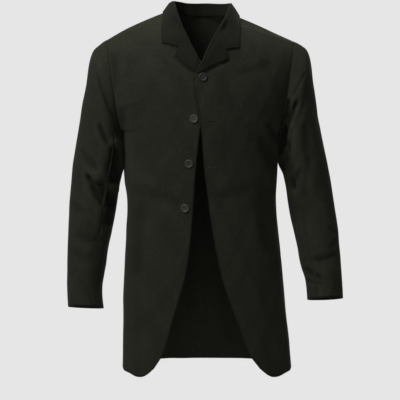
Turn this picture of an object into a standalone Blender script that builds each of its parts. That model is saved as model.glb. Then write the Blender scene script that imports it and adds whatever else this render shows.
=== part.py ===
"""A black cutaway frock coat, hollow, in the form that it has when worn.

Units are metres. +Z is up, the fronts face -Y and the wearer's left is +X. The origin is the
middle of the neck, level with the points where the shoulder seams meet the collar. Shapes are
worked out for the wearer's left half and mirrored. "Across" is the distance from the middle line.
"""

import math
from functools import partial

import bmesh
import bpy
import numpy as np
from mathutils import Matrix, Vector

CLOTH = 0.0020
COLLAR_CLOTH = 0.0022
COLLAR_SEAM_RISE = 0.0010
SEAM_GAP = 0.0003
ARMHOLE_GAP = 0.0006
UNDERARM = -0.295
YOKE_TOP = 0.009
HEM = -0.862
TAIL_CORNER = -0.846
MIDDLE_OVERRUN = 0.035
SHOULDER_RISE = 0.0055
LAP_RISE = 0.0030
LAP_REACH = 0.030
LAP_FADE = 0.045
LAP_TOP = -0.075
LAP_BOTTOM = -0.285
LAP_SOFT_TOP = 0.05
LAP_SOFT_BOTTOM = 0.06
MIDDLE_SEAM_REACH = 0.004
EDGE_STEP = 0.01

# Rows of points below and above the underarm and columns of points, or just rows and columns.
FRONT_GRID = (17, 14, 16)
BACK_GRID = (14, 12, 12)
SLEEVE_ROWS = 25
UPPER_COLUMNS = 14
UNDER_COLUMNS = 8
COLLAR_GRID = (15, 7)
LAPEL_GRID = (10, 6)
SHARP_EDGE = math.radians(50)

ARMHOLE_CENTRE = -0.176
ARMHOLE_HALF_HEIGHT = 0.119
ARMHOLE_MIDDLE = 0.008
ARMHOLE_HALF_DEPTH = 0.064
SHOULDER_ACROSS = 0.2285
ARMHOLE_LEAN = 0.16

# The way the cloth's cut edge faces at the shoulder seam and round the top of the armhole.
SHOULDER_RIM = np.array([0.42, 0.0, 0.91])
ARMHOLE_RIM = {"across": 0.47, "ahead": 0.78, "up": 0.87}
RIM_FADE = 0.5

SLEEVE_FRONT_SEAM = math.radians(125)
SLEEVE_BACK_SEAM = math.radians(-110)
SLEEVE_RADIUS = 0.05
CUFF_RISE = {1: 0.0105, -1: -0.0105}
CUFF_SWING = {1: 0.0070, -1: -0.0025}

# Shares of the way down a sleeve: where its rings turn square to the arm, and where creases start.
RING_TURN = (0.1, 0.6)
CREASE_START = 0.12
CREASE_FACING = (0.1, 0.7)

FOLD_HALF = 0.0042
FOLD_SHARE = 0.22
FOLD_MARGIN = 0.0004
LAPEL_RISE = 0.0056
UNDER_RISE = 0.0029
UNDER_ROWS = (0.75, 0.95)
ROLL_GAP = 0.0012
ROLL_ASIDE = 0.96
LEAF_LIFT = 0.0032
LEAF_ARCH = 0.0010
LEAF_ARCH_ROWS = (0.1, 0.6)
LEAF_LAID_ROWS = (0.05, 0.30)
NOTCH_ROWS = 0.30

# The panels that leaves rest on are sampled from this level up, in so many rows and columns.
REST_FROM = -0.20
REST_GRID = (90, 110)
REST_FACING = -0.15

# How the roll of a folded leaf is shaped, from the seam over its top to where the leaf begins.
FOLD_COLUMNS = ("of_height", "of_half", "aside")
FOLD_STOPS = (
    (1.00, 0.00, -0.96),
    (0.55, 0.35, -1.00),
    (0.00, 0.80, -0.92),
    (0.00, 0.16, -0.52),
    (0.00, 0.00, 0.05),
    (0.00, 0.20, 0.62),
)

BUTTON_RADIUS = 0.0100
BUTTON_LIFT = 0.0005
BUTTON_HOLE_RADIUS = 0.0010
BUTTON_HOLE_SPREAD = 0.0019
BUTTON_PROFILE = (
    (0.0000, 0.0020),
    (0.0064, 0.0020),
    (0.0074, 0.0030),
    (0.0087, 0.0032),
    (0.0098, 0.0022),
    (BUTTON_RADIUS, 0.0011),
    (0.0086, 0.0000),
    (0.0000, 0.0000),
)

WOOL_COLOUR = (0.016, 0.018, 0.014)
WOOL_ROUGHNESS = 0.85
HORN_COLOUR = (0.012, 0.011, 0.010)
HORN_ROUGHNESS = 0.38

# Level sections of the body below the armhole, from the hem up.
SECTION_COLUMNS = ("height", "half_width", "front", "back", "side", "square")
SECTIONS = (
    (-0.875, 0.2112, 0.116, 0.140, 0.0280, 0.62),
    (-0.790, 0.2060, 0.117, 0.134, 0.0250, 0.62),
    (-0.690, 0.2000, 0.118, 0.126, 0.0200, 0.62),
    (-0.600, 0.1940, 0.119, 0.118, 0.0160, 0.61),
    (-0.520, 0.1872, 0.119, 0.109, 0.0120, 0.60),
    (-0.447, 0.1830, 0.119, 0.104, 0.0100, 0.58),
    (-0.390, 0.1878, 0.122, 0.108, 0.0090, 0.57),
    (-0.340, 0.1902, 0.126, 0.115, 0.0085, 0.56),
)

# The rows of the front from the armhole's foot to the shoulder seam. A row is a cubic curve from
# its start at the middle to the armhole, where turn 1 is the underarm and turn 0 the shoulder.
YOKE_COLUMNS = ("level", "start_x", "start_y", "start_z", "x1", "y1", "x2", "y2", "arch", "turn")
FRONT_YOKE = (
    (-0.295, -0.035, -0.127, -0.295, 0.104, -0.1298, 0.1905, -0.076, 0.000, 1.00),
    (-0.205, -0.035, -0.126, -0.205, 0.098, -0.1280, 0.1745, -0.088, 0.000, 0.78),
    (-0.150, -0.035, -0.123, -0.150, 0.093, -0.1250, 0.1700, -0.098, 0.000, 0.60),
    (-0.112, -0.012, -0.119, -0.112, 0.085, -0.1175, 0.1710, -0.095, 0.000, 0.47),
    (-0.080, 0.009, -0.108, -0.080, 0.084, -0.1080, 0.1740, -0.084, 0.001, 0.37),
    (-0.045, 0.034, -0.089, -0.045, 0.092, -0.0910, 0.1800, -0.063, 0.002, 0.25),
    (-0.018, 0.062, -0.053, -0.018, 0.108, -0.0530, 0.1810, -0.031, 0.003, 0.12),
    (0.009, 0.082, 0.004, 0.009, 0.130, 0.0040, 0.1800, 0.006, 0.004, 0.00),
)
BACK_YOKE = (
    (-0.295, 0.000, 0.120, -0.295, 0.100, 0.1210, 0.1905, 0.082, 0.000, 1.00),
    (-0.220, 0.000, 0.125, -0.220, 0.095, 0.1265, 0.1760, 0.096, 0.000, 0.78),
    (-0.150, 0.000, 0.123, -0.150, 0.090, 0.1280, 0.1730, 0.108, 0.000, 0.60),
    (-0.090, 0.000, 0.111, -0.090, 0.085, 0.1200, 0.1730, 0.105, 0.001, 0.45),
    (-0.045, 0.000, 0.093, -0.045, 0.080, 0.1040, 0.1750, 0.093, 0.002, 0.33),
    (-0.015, 0.000, 0.070, 0.006, 0.085, 0.0790, 0.1780, 0.074, 0.003, 0.22),
    (-0.003, 0.048, 0.052, 0.010, 0.110, 0.0500, 0.1800, 0.043, 0.003, 0.10),
    (0.009, 0.082, 0.004, 0.009, 0.130, 0.0040, 0.1800, 0.006, 0.004, 0.00),
)

# The front edge of each side: collar seam, roll line, button stand, then the cutaway.
EDGE_COLUMNS = ("height", "left", "right")
FRONT_EDGE = (
    (-0.846, 0.1270, 0.1270),
    (-0.8125, 0.1045, 0.1060),
    (-0.741, 0.0810, 0.0810),
    (-0.687, 0.0627, 0.0627),
    (-0.628, 0.0450, 0.0450),
    (-0.561, 0.0320, 0.0320),
    (-0.477, 0.0200, 0.0225),
    (-0.420, 0.0145, 0.0165),
    (-0.358, 0.0082, 0.0105),
    (-0.300, 0.0045, 0.0040),
    (-0.2525, 0.0012, -0.0040),
    (-0.205, -0.0060, -0.0135),
    (-0.170, -0.0125, -0.0240),
    (-0.150, -0.0115, -0.0235),
    (-0.132, -0.0020, -0.0115),
    (-0.112, 0.0080, 0.0022),
    (-0.095, 0.0145, 0.0115),
    (-0.070, 0.0265, 0.0250),
    (-0.045, 0.0390, 0.0390),
    (-0.018, 0.0625, 0.0625),
    (0.009, 0.0820, 0.0820),
)

# The hem from the tail's rounded corner to the side.
TAIL_COLUMNS = ("across", "height")
TAIL = (
    (0.100, -0.8460),
    (0.127, -0.8460),
    (0.142, -0.8600),
    (0.158, -0.8695),
    (0.172, -0.8715),
    (0.190, -0.8660),
    (0.2075, -0.8620),
    (0.230, -0.8620),
)

# The coat's middle line hangs a little to the wearer's left below the waist.
SWAY_COLUMNS = ("height", "aside")
SWAY = (
    (-0.880, 0.0165),
    (-0.790, 0.0135),
    (-0.690, 0.0086),
    (-0.600, 0.0065),
    (-0.520, 0.0045),
    (-0.447, 0.0025),
    (-0.380, 0.0005),
    (-0.330, 0.0000),
    (-0.060, 0.0000),
    (-0.020, 0.0010),
    (0.060, 0.0050),
)

# Between which distances and heights the right shoulder's rise comes in and fades.
SHOULDER_NEAR = (0.02, 0.07)
SHOULDER_FAR = (0.17, 0.27)
SHOULDER_HEIGHTS = (-0.20, -0.10)

# Rings of the sleeve from the armhole to the cuff.
RING_COLUMNS = ("outer_x", "outer_z", "inner_x", "inner_z", "middle_y", "half_depth")
SLEEVE_RINGS = (
    (0.2285, -0.0570, 0.1905, -0.2950, 0.008, 0.064),
    (0.2455, -0.0680, 0.1908, -0.3030, 0.008, 0.068),
    (0.2610, -0.0830, 0.1906, -0.3130, 0.008, 0.071),
    (0.2695, -0.1100, 0.1904, -0.3260, 0.008, 0.073),
    (0.2755, -0.1530, 0.1903, -0.3420, 0.009, 0.073),
    (0.2835, -0.2020, 0.1900, -0.3620, 0.010, 0.072),
    (0.2910, -0.2560, 0.1950, -0.3880, 0.012, 0.071),
    (0.3015, -0.3120, 0.2015, -0.4180, 0.014, 0.069),
    (0.3120, -0.3660, 0.2070, -0.4500, 0.014, 0.067),
    (0.3195, -0.4200, 0.2125, -0.4860, 0.012, 0.064),
    (0.3245, -0.4750, 0.2205, -0.5240, 0.005, 0.061),
    (0.3280, -0.5300, 0.2305, -0.5640, -0.006, 0.057),
    (0.3290, -0.5850, 0.2375, -0.6060, -0.018, 0.053),
    (0.3290, -0.6380, 0.2445, -0.6500, -0.030, 0.050),
    (0.3285, -0.6930, 0.2440, -0.6960, -0.040, 0.048),
)

# How much farther out each sleeve hangs than its rings say, at its outer and its inner line.
SLEEVE_EASE_COLUMNS = ("outer", "inner")
SLEEVE_EASE = {
    1: (
        (0.0000, 0.0000),
        (0.0000, 0.0000),
        (0.0000, 0.0000),
        (0.0000, 0.0000),
        (-0.0007, 0.0000),
        (-0.0017, 0.0022),
        (-0.0024, 0.0068),
        (-0.0012, 0.0055),
        (-0.0018, 0.0018),
        (-0.0018, 0.0010),
        (-0.0012, -0.0002),
        (0.0000, -0.0035),
        (0.0004, -0.0062),
        (0.0016, -0.0022),
        (0.0018, 0.0000),
    ),
    -1: (
        (0.0000, 0.0000),
        (0.0000, 0.0000),
        (0.0000, 0.0000),
        (0.0002, 0.0000),
        (0.0010, 0.0000),
        (0.0031, 0.0000),
        (0.0050, 0.0012),
        (0.0050, 0.0014),
        (0.0037, 0.0010),
        (0.0028, 0.0034),
        (0.0024, 0.0047),
        (0.0027, 0.0042),
        (0.0040, 0.0040),
        (0.0050, 0.0046),
        (0.0046, 0.0026),
    ),
}

# Half of the collar from its front end to the middle of the back: the panel and level where the
# stand is sewn on, the top of the roll and the leaf's outer edge.
COLLAR_COLUMNS = ("panel", "level", "roll_x", "roll_y", "roll_z", "edge_x", "edge_y", "edge_z")
COLLAR = (
    (0, -0.0450, 0.0395, -0.0935, -0.0415, 0.0905, -0.095, -0.0755),
    (0, -0.0330, 0.0480, -0.0840, -0.0230, 0.0920, -0.087, -0.0560),
    (0, -0.0180, 0.0580, -0.0640, 0.0000, 0.0940, -0.067, -0.0320),
    (0, -0.0050, 0.0650, -0.0360, 0.0210, 0.0940, -0.038, -0.0110),
    (0, 0.0080, 0.0695, -0.0040, 0.0370, 0.0910, 0.008, 0.0010),
    (1, 0.0030, 0.0625, 0.0300, 0.0430, 0.0850, 0.050, -0.0030),
    (1, -0.0040, 0.0390, 0.0530, 0.0433, 0.0560, 0.080, -0.0100),
    (1, -0.0150, 0.0000, 0.0620, 0.0437, 0.0000, 0.088, -0.0150),
)
NOTCH = {1: (0.0590, -0.0800), -1: (0.0515, -0.0835)}
NOTCH_SHARE = 0.50
LAPEL_NOTCH_SHARE = 0.60
GORGE_GAP = 0.0007
GORGE_AWAY = np.array([0.88, 0.0, 0.47])
ROLL_SPRING = 0.0024

# Each lapel's outer edge, from the notch corner to the foot, beside heights on its roll line.
LAPEL_COLUMNS = ("roll", "edge_x", "edge_z")
LAPELS = {
    1: (
        (-0.0482, 0.0665, -0.1020),
        (-0.0700, 0.0540, -0.1085),
        (-0.0950, 0.0360, -0.1185),
        (-0.1200, 0.0150, -0.1300),
        (-0.1320, 0.0030, -0.1370),
        (-0.1400, -0.0038, -0.1408),
    ),
    -1: (
        (-0.0482, 0.0592, -0.1040),
        (-0.0620, 0.0505, -0.1105),
        (-0.0790, 0.0375, -0.1195),
        (-0.0950, 0.0235, -0.1285),
        (-0.1060, 0.0145, -0.1345),
        (-0.1190, 0.0085, -0.1385),
    ),
}

# Buttons: which front carries what shows, across and height.
BUTTONS = (
    (1, 0.0068, -0.1510),
    (-1, 0.0150, -0.2480),
    (-1, 0.0275, -0.3535),
    (-1, 0.0395, -0.4590),
)

# Soft troughs of each sleeve, seen from the front: x0, z0, x1, z1, half width and depth.
SLEEVE_CREASES = {
    1: (
        (0.2150, -0.205, 0.2000, -0.270, 0.010, 0.0035),
        (0.2360, -0.215, 0.2060, -0.290, 0.012, 0.0030),
        (0.2550, -0.270, 0.2560, -0.330, 0.012, 0.0025),
        (0.2300, -0.390, 0.2500, -0.470, 0.016, 0.0030),
        (0.2640, -0.590, 0.3200, -0.580, 0.012, 0.0030),
        (0.2620, -0.632, 0.2950, -0.642, 0.010, 0.0030),
    ),
    -1: (
        (0.2560, -0.140, 0.2150, -0.205, 0.012, 0.0030),
        (0.2450, -0.262, 0.2180, -0.330, 0.013, 0.0035),
        (0.2850, -0.348, 0.2420, -0.390, 0.013, 0.0035),
        (0.2790, -0.390, 0.2400, -0.450, 0.014, 0.0055),
        (0.2900, -0.530, 0.2480, -0.540, 0.014, 0.0025),
    ),
}
BACK_SLEEVE_CREASES = (
    (0.2500, -0.165, 0.2150, -0.240, 0.013, 0.0030),
    (0.2950, -0.370, 0.2450, -0.400, 0.014, 0.0030),
    (0.3000, -0.430, 0.2500, -0.440, 0.014, 0.0030),
)

# Soft upright folds of the skirt: share of the way round from the front, width and depth at the hem.
FLUTE_COLUMNS = ("share", "width", "depth")
FRONT_FLUTES = ((0.56, 0.060, 0.0030), (0.80, 0.060, -0.0035))
BACK_FLUTES = ((0.30, 0.080, -0.0040), (0.62, 0.080, 0.0040))
FLUTE_TOP = -0.470


def table(rows, columns):
    """The table's columns as named arrays."""
    values = np.array(rows, float)
    return {name: values[:, i] for i, name in enumerate(columns)}


def smooth(knots, values, at):
    """Values between the knots, on cubic curves whose slopes average those of the runs beside."""
    knots = np.asarray(knots, float)
    values = np.asarray(values, float)
    at = np.clip(at, knots[0], knots[-1])
    run = np.diff(knots)
    spread = (-1,) + (1,) * (values.ndim - 1)
    rise = np.diff(values, axis=0) / run.reshape(spread)
    share = (run[1:] / (run[1:] + run[:-1])).reshape(spread)
    slope = np.concatenate([rise[:1], share * rise[:-1] + (1 - share) * rise[1:], rise[-1:]])
    i = np.clip(np.searchsorted(knots, at, side="right") - 1, 0, len(run) - 1)
    more = at.shape + (1,) * (values.ndim - 1)
    w = ((at - knots[i]) / run[i]).reshape(more)
    step = run[i].reshape(more)
    start = values[i] * (1 + 2 * w) * (1 - w) ** 2 + step * slope[i] * w * (1 - w) ** 2
    end = values[i + 1] * w**2 * (3 - 2 * w) - step * slope[i + 1] * w**2 * (1 - w)
    return start + end


def ease(value, low, high):
    """0 below low, 1 above high and a soft step between."""
    w = np.clip((value - low) / (high - low), 0, 1)
    return w * w * (3 - 2 * w)


def unit(vectors):
    return vectors / np.maximum(np.linalg.norm(vectors, axis=-1, keepdims=True), 1e-12)


def armhole(turn, way):
    """A point of the armhole's oval. way is -1 on the front and 1 on the back."""
    angle = np.pi * np.asarray(turn, float)
    z = ARMHOLE_CENTRE + ARMHOLE_HALF_HEIGHT * np.cos(angle)
    y = ARMHOLE_MIDDLE + way * ARMHOLE_HALF_DEPTH * np.sin(angle)
    top = ARMHOLE_CENTRE + ARMHOLE_HALF_HEIGHT
    return np.stack([SHOULDER_ACROSS - ARMHOLE_LEAN * (top - z), y, z], axis=-1)


def body_rows(way):
    """Heights and control points of a half's rows: level sections, then the yoke."""
    s = table(SECTIONS, SECTION_COLUMNS)
    reach = s["front"] if way < 0 else s["back"]
    start = np.full_like(reach, -MIDDLE_OVERRUN if way < 0 else 0.0)
    turn_y = s["side"] + (way * reach - s["side"]) * s["square"]
    low = np.stack(
        [
            np.stack([start, way * reach, s["height"]], axis=1),
            np.stack([s["square"] * s["half_width"], way * reach, s["height"]], axis=1),
            np.stack([s["half_width"], turn_y, s["height"]], axis=1),
            np.stack([s["half_width"], s["side"], s["height"]], axis=1),
        ],
        axis=1,
    )
    y = table(FRONT_YOKE if way < 0 else BACK_YOKE, YOKE_COLUMNS)
    first = np.stack([y["start_x"], y["start_y"], y["start_z"]], axis=1)
    last = armhole(y["turn"], way)
    inner = []
    for name_x, name_y in (("x1", "y1"), ("x2", "y2")):
        along = (y[name_x] - first[:, 0]) / (last[:, 0] - first[:, 0])
        height = first[:, 2] + along * (last[:, 2] - first[:, 2]) + y["arch"]
        inner.append(np.stack([y[name_x], y[name_y], height], axis=1))
    high = np.stack([first, inner[0], inner[1], last], axis=1)
    return np.concatenate([s["height"], y["level"]]), np.concatenate([low, high])


ROWS = {-1: body_rows(-1), 1: body_rows(1)}


def body(way, level, share):
    """The half body's surface: level picks the row, share goes from the middle to the side."""
    knots, controls = ROWS[way]
    level, share = np.broadcast_arrays(np.asarray(level, float), np.asarray(share, float))
    c = smooth(knots, controls, level.reshape(-1)).reshape(level.shape + (4, 3))
    if way > 0:
        c[..., 0, 0] = np.maximum(c[..., 0, 0], 0)
    t = share[..., None]
    s = 1 - t
    return (
        s**3 * c[..., 0, :]
        + 3 * s * s * t * c[..., 1, :]
        + 3 * s * t * t * c[..., 2, :]
        + t**3 * c[..., 3, :]
    )


def facing(surface, u, v, outward):
    """The unit normals of a surface of two parameters, on the side that outward picks."""
    step = 1e-4
    along = surface(u + step, v) - surface(u - step, v)
    across = surface(u, v + step) - surface(u, v - step)
    return outward * unit(np.cross(along, across))


def share_at(way, level, across):
    """The share of a row at which it is that far from the middle, by halving the range."""
    level = np.asarray(level, float)
    low = np.zeros_like(level)
    high = np.ones_like(level)
    for _ in range(24):
        middle = (low + high) / 2
        short = body(way, level, middle)[..., 0] < across
        low = np.where(short, middle, low)
        high = np.where(short, high, middle)
    return (low + high) / 2


def place_at(way, across, height):
    """The level and share of the point at that distance from the middle and that height."""
    across, height = np.broadcast_arrays(np.asarray(across, float), np.asarray(height, float))
    level = height.copy()
    for _ in range(8):
        share = share_at(way, level, across)
        level = level + height - body(way, level, share)[..., 2]
    return level, share_at(way, level, across)


def flute(way, level, share):
    """How far the skirt's upright folds stand out."""
    rows = table(FRONT_FLUTES if way < 0 else BACK_FLUTES, FLUTE_COLUMNS)
    grown = 1 - ease(level, HEM, FLUTE_TOP)
    out = np.zeros(np.broadcast(level, share).shape)
    for place, width, depth in zip(rows["share"], rows["width"], rows["depth"]):
        out = out - depth * np.exp(-(((share - place) / width) ** 2)) * grown
    return out


def lap(level, across, side):
    """How far the left front stands out, and the right one in, where they overlap."""
    near = 1 - ease(across, LAP_REACH, LAP_REACH + LAP_FADE)
    below = ease(level, LAP_BOTTOM - LAP_SOFT_BOTTOM, LAP_BOTTOM)
    above = 1 - ease(level, LAP_TOP, LAP_TOP + LAP_SOFT_TOP)
    return side * LAP_RISE * near * below * above


def front(side):
    """The outer surface of one front, as a function of level and share."""

    def surface(level, share):
        bare = body(-1, level, share)
        out = facing(partial(body, -1), level, share, -1)
        rise = lap(level, bare[..., 0], side) + flute(-1, level, share)
        return bare + out * rise[..., None]

    return surface


def back(level, share):
    """The outer surface of one half of the back."""
    bare = body(1, level, share)
    out = facing(partial(body, 1), level, share, 1)
    return bare + out * flute(1, level, share)[..., None]


def armhole_rim(turn, way):
    """The direction of the cloth's cut edge that body and sleeve share over the shoulder."""
    angle = np.pi * np.asarray(turn, float)
    across = np.full_like(angle, ARMHOLE_RIM["across"])
    ahead = way * ARMHOLE_RIM["ahead"] * np.sin(angle)
    return unit(np.stack([across, ahead, ARMHOLE_RIM["up"] * np.cos(angle)], axis=-1))


def steps(count):
    return np.linspace(0, 1, count)


def levels_of(low_rows, high_rows, top):
    """Shares of the way up from the hem to the underarm, and the levels above it."""
    return steps(low_rows)[:-1], UNDERARM + (top - UNDERARM) * steps(high_rows)


def hung(way, risen, share):
    """The level of a point below the underarm, whose row starts at the hem's own height there."""
    tail = table(TAIL, TAIL_COLUMNS)
    level = np.full(np.broadcast(risen, share).shape, HEM) * (1 - risen) + UNDERARM * risen
    for _ in range(4):
        hem = np.full_like(level, HEM)
        if way < 0:
            hem = smooth(tail["across"], tail["height"], body(way, level, share)[..., 0])
        level = hem + (UNDERARM - hem) * risen
    return level


def edge_across(side, height):
    edge = table(FRONT_EDGE, EDGE_COLUMNS)
    return smooth(edge["height"], edge["left" if side > 0 else "right"], height)


def edge_share(side, level):
    """The share of each row at which the front is cut."""
    height = level
    for _ in range(6):
        share = share_at(-1, level, edge_across(side, height))
        height = body(-1, level, share)[..., 2]
    return share


def front_panel(side):
    """Outer points and normals of a front, from its cut edge to the side seam and armhole."""
    low_rows, high_rows, columns = FRONT_GRID
    low, high = levels_of(low_rows, high_rows, YOKE_TOP)
    across = steps(columns)[None, :]
    start = edge_share(side, TAIL_CORNER + (UNDERARM - TAIL_CORNER) * low)[:, None]
    share_low = start + (1 - start) * across
    level_low = hung(-1, low[:, None], share_low)
    start = edge_share(side, high)[:, None]
    share_high = start + (1 - start) * across
    level_high = np.broadcast_to(high[:, None], share_high.shape)
    return panel(front(side), np.vstack([level_low, level_high]), np.vstack([share_low, share_high]), -1)


def back_panel():
    """Outer points and normals of a half back, from the middle seam to the side."""
    low_rows, high_rows, columns = BACK_GRID
    low, high = levels_of(low_rows, high_rows, YOKE_TOP)
    share = np.broadcast_to(steps(columns)[None, :], (len(low) + len(high), columns))
    level_low = hung(1, low[:, None], share[: len(low)])
    level_high = np.broadcast_to(high[:, None], (len(high), columns))
    return panel(back, np.vstack([level_low, level_high]), share, 1)


def panel(surface, level, share, way):
    """A body panel's points, drawn in by half a gap at its seams, and its normals."""
    points = surface(level, share)
    out = facing(surface, level, share, way)
    beyond = unit(surface(level[:, -1], share[:, -1] - EDGE_STEP) - points[:, -1])
    points[:, -1] += beyond * SEAM_GAP / 2
    points[-1] += unit(points[-2] - points[-1]) * SEAM_GAP / 2
    if way > 0:
        middle = points[:, 0, 0] < MIDDLE_SEAM_REACH
        points[:, 0, 0] = np.maximum(points[:, 0, 0], SEAM_GAP / 2)
        out[middle, 0, 0] = 0
        out[:, 0] = unit(out[:, 0])
    yoke = table(FRONT_YOKE if way < 0 else BACK_YOKE, YOKE_COLUMNS)
    turn = smooth(yoke["level"], yoke["turn"], level[:, -1])
    over = ease(np.cos(np.pi * turn), 0.0, RIM_FADE)[:, None] * (level[:, -1] > UNDERARM)[:, None]
    out[:, -1] = unit(over * armhole_rim(turn, way) + (1 - over) * out[:, -1])
    out[-1] = unit(SHOULDER_RIM)
    return points, out


def creases(points, rows):
    """How deep soft troughs press in: each is deepest on its line and fades past its ends."""
    depth = np.zeros(points.shape[:-1])
    for x0, z0, x1, z1, width, deep in rows:
        start, run = np.array([x0, z0]), np.array([x1 - x0, z1 - z0])
        beside = points[..., [0, 2]] - start
        along = (beside @ run) / (run @ run)
        off = np.linalg.norm(beside - np.clip(along, 0, 1)[..., None] * run, axis=-1)
        depth += deep * np.exp(-((off / width) ** 2))
    return depth


def sleeve(side):
    """The sleeve's outer surface: place runs down the rings, angle round from the outside."""
    r = table(SLEEVE_RINGS, RING_COLUMNS)
    knots = np.linspace(0, 1, len(SLEEVE_RINGS))
    outer = np.stack([r["outer_x"], r["middle_y"], r["outer_z"]], axis=1)
    inner = np.stack([r["inner_x"], r["middle_y"], r["inner_z"]], axis=1)
    late = (knots**2)[:, None] * np.array([CUFF_SWING[side], 0, CUFF_RISE[side]])
    extra = table(SLEEVE_EASE[side], SLEEVE_EASE_COLUMNS)
    outer = outer + late + extra["outer"][:, None] * [1, 0, 0]
    inner = inner + late + extra["inner"][:, None] * [1, 0, 0]
    middle = (outer + inner) / 2
    course = np.gradient(middle, axis=0)
    level = np.stack([np.zeros(len(knots)), -course[:, 2], course[:, 1]], axis=1)
    turned = ease(knots, *RING_TURN)[:, None]
    depth = unit(turned * unit(level) + (1 - turned) * np.array([0, 1.0, 0]))
    rings = np.stack([middle, (outer - inner) / 2, -depth * r["half_depth"][:, None]], axis=1)

    def bare(place, angle):
        place, angle = np.broadcast_arrays(np.asarray(place, float), np.asarray(angle, float))
        c = smooth(knots, rings, place.reshape(-1)).reshape(place.shape + (3, 3))
        cos, sin = np.cos(angle)[..., None], np.sin(angle)[..., None]
        return c[..., 0, :] + cos * c[..., 1, :] + sin * c[..., 2, :]

    def surface(place, angle):
        points = bare(place, angle)
        out = facing(bare, place, angle, -1)
        pressed = creases(points, SLEEVE_CREASES[side]) * ease(-out[..., 1], *CREASE_FACING)
        pressed += creases(points, BACK_SLEEVE_CREASES) * ease(out[..., 1], *CREASE_FACING)
        pressed *= ease(np.broadcast_to(place, pressed.shape), 0.0, CREASE_START)
        return points - out * pressed[..., None] + np.array([ARMHOLE_GAP, 0, 0])

    return surface


def sleeve_half(side, start, end, columns):
    """Outer points and normals of a sleeve half between two seams."""
    gap = SEAM_GAP / 2 / SLEEVE_RADIUS
    place = steps(SLEEVE_ROWS)[:, None]
    angle = np.linspace(start + gap, end - gap, columns)[None, :]
    surface = sleeve(side)
    points = surface(place, angle)
    out = facing(surface, place, np.broadcast_to(angle, points.shape[:2]), -1)
    way = np.where(np.sin(angle[0]) > 0, -1.0, 1.0)
    turn = np.arccos(np.cos(angle[0])) / np.pi
    over = ease(np.cos(angle[0]), 0.0, RIM_FADE)[:, None]
    rim = np.stack([armhole_rim(t, w) for t, w in zip(turn, way)])
    out[0] = unit(over * rim + (1 - over) * out[0])
    return points, out


def samples(side):
    """Points and normals of both panels of a side, close together, to rest leaves on."""
    rows, columns = REST_GRID
    level = (REST_FROM + (YOKE_TOP - REST_FROM) * steps(rows))[:, None]
    level, share = np.broadcast_to(level, REST_GRID), np.broadcast_to(steps(columns), REST_GRID)
    found = []
    for surface, way in ((front(side), -1), (back, 1)):
        out = facing(surface, level, share, way)
        found.append((surface(level, share).reshape(-1, 3), out.reshape(-1, 3)))
    return tuple(np.concatenate([a, b]) for a, b in zip(*found))


def lifted(points, carrier, lift):
    """The points moved out, where they are nearer to the carrier than lift."""
    places, normals = carrier
    flat = points.reshape(-1, 3)
    lift = np.broadcast_to(lift, points.shape[:-1]).reshape(-1)
    done = []
    for point, least in zip(flat, lift):
        near = np.argmin(((places - point) ** 2).sum(axis=1))
        off = (point - places[near]) @ normals[near]
        done.append(point + normals[near] * max(0.0, least - off))
    return np.array(done).reshape(points.shape)


def seated(points, carrier, lift):
    """The points brought to that lift from the nearest place of the carrier."""
    places, normals = carrier
    done = []
    for point in points:
        for _ in range(3):
            near = np.argmin(((places - point) ** 2).sum(axis=1))
            point = point + normals[near] * (lift - (point - places[near]) @ normals[near])
        done.append(point)
    return np.array(done)


def laid(across, height, carrier, lift):
    """Points over the front at that place in front view, lifted off it."""
    places, normals = carrier
    ahead = normals[:, 1] < REST_FACING
    places, normals = places[ahead], normals[ahead]
    done = []
    for x, z, rise in zip(across.ravel(), height.ravel(), np.broadcast_to(lift, across.shape).ravel()):
        near = np.argmin((places[:, 0] - x) ** 2 + (places[:, 2] - z) ** 2)
        q, n = places[near], normals[near]
        y = q[1] - ((x - q[0]) * n[0] + (z - q[2]) * n[2]) / n[1]
        done.append(np.array([x, y, z]) + n * rise)
    return np.array(done).reshape(across.shape + (3,))


def fold(top, down, out, height, half):
    """The stand's visible face and the roll's top, from the seam to where the leaf begins."""
    stops = table(FOLD_STOPS, FOLD_COLUMNS)
    drop = height[:, None] * stops["of_height"] + half[:, None] * stops["of_half"]
    aside = half[:, None] * stops["aside"]
    return top[:, None] + down[:, None] * drop[..., None] + out[:, None] * aside[..., None]


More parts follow.
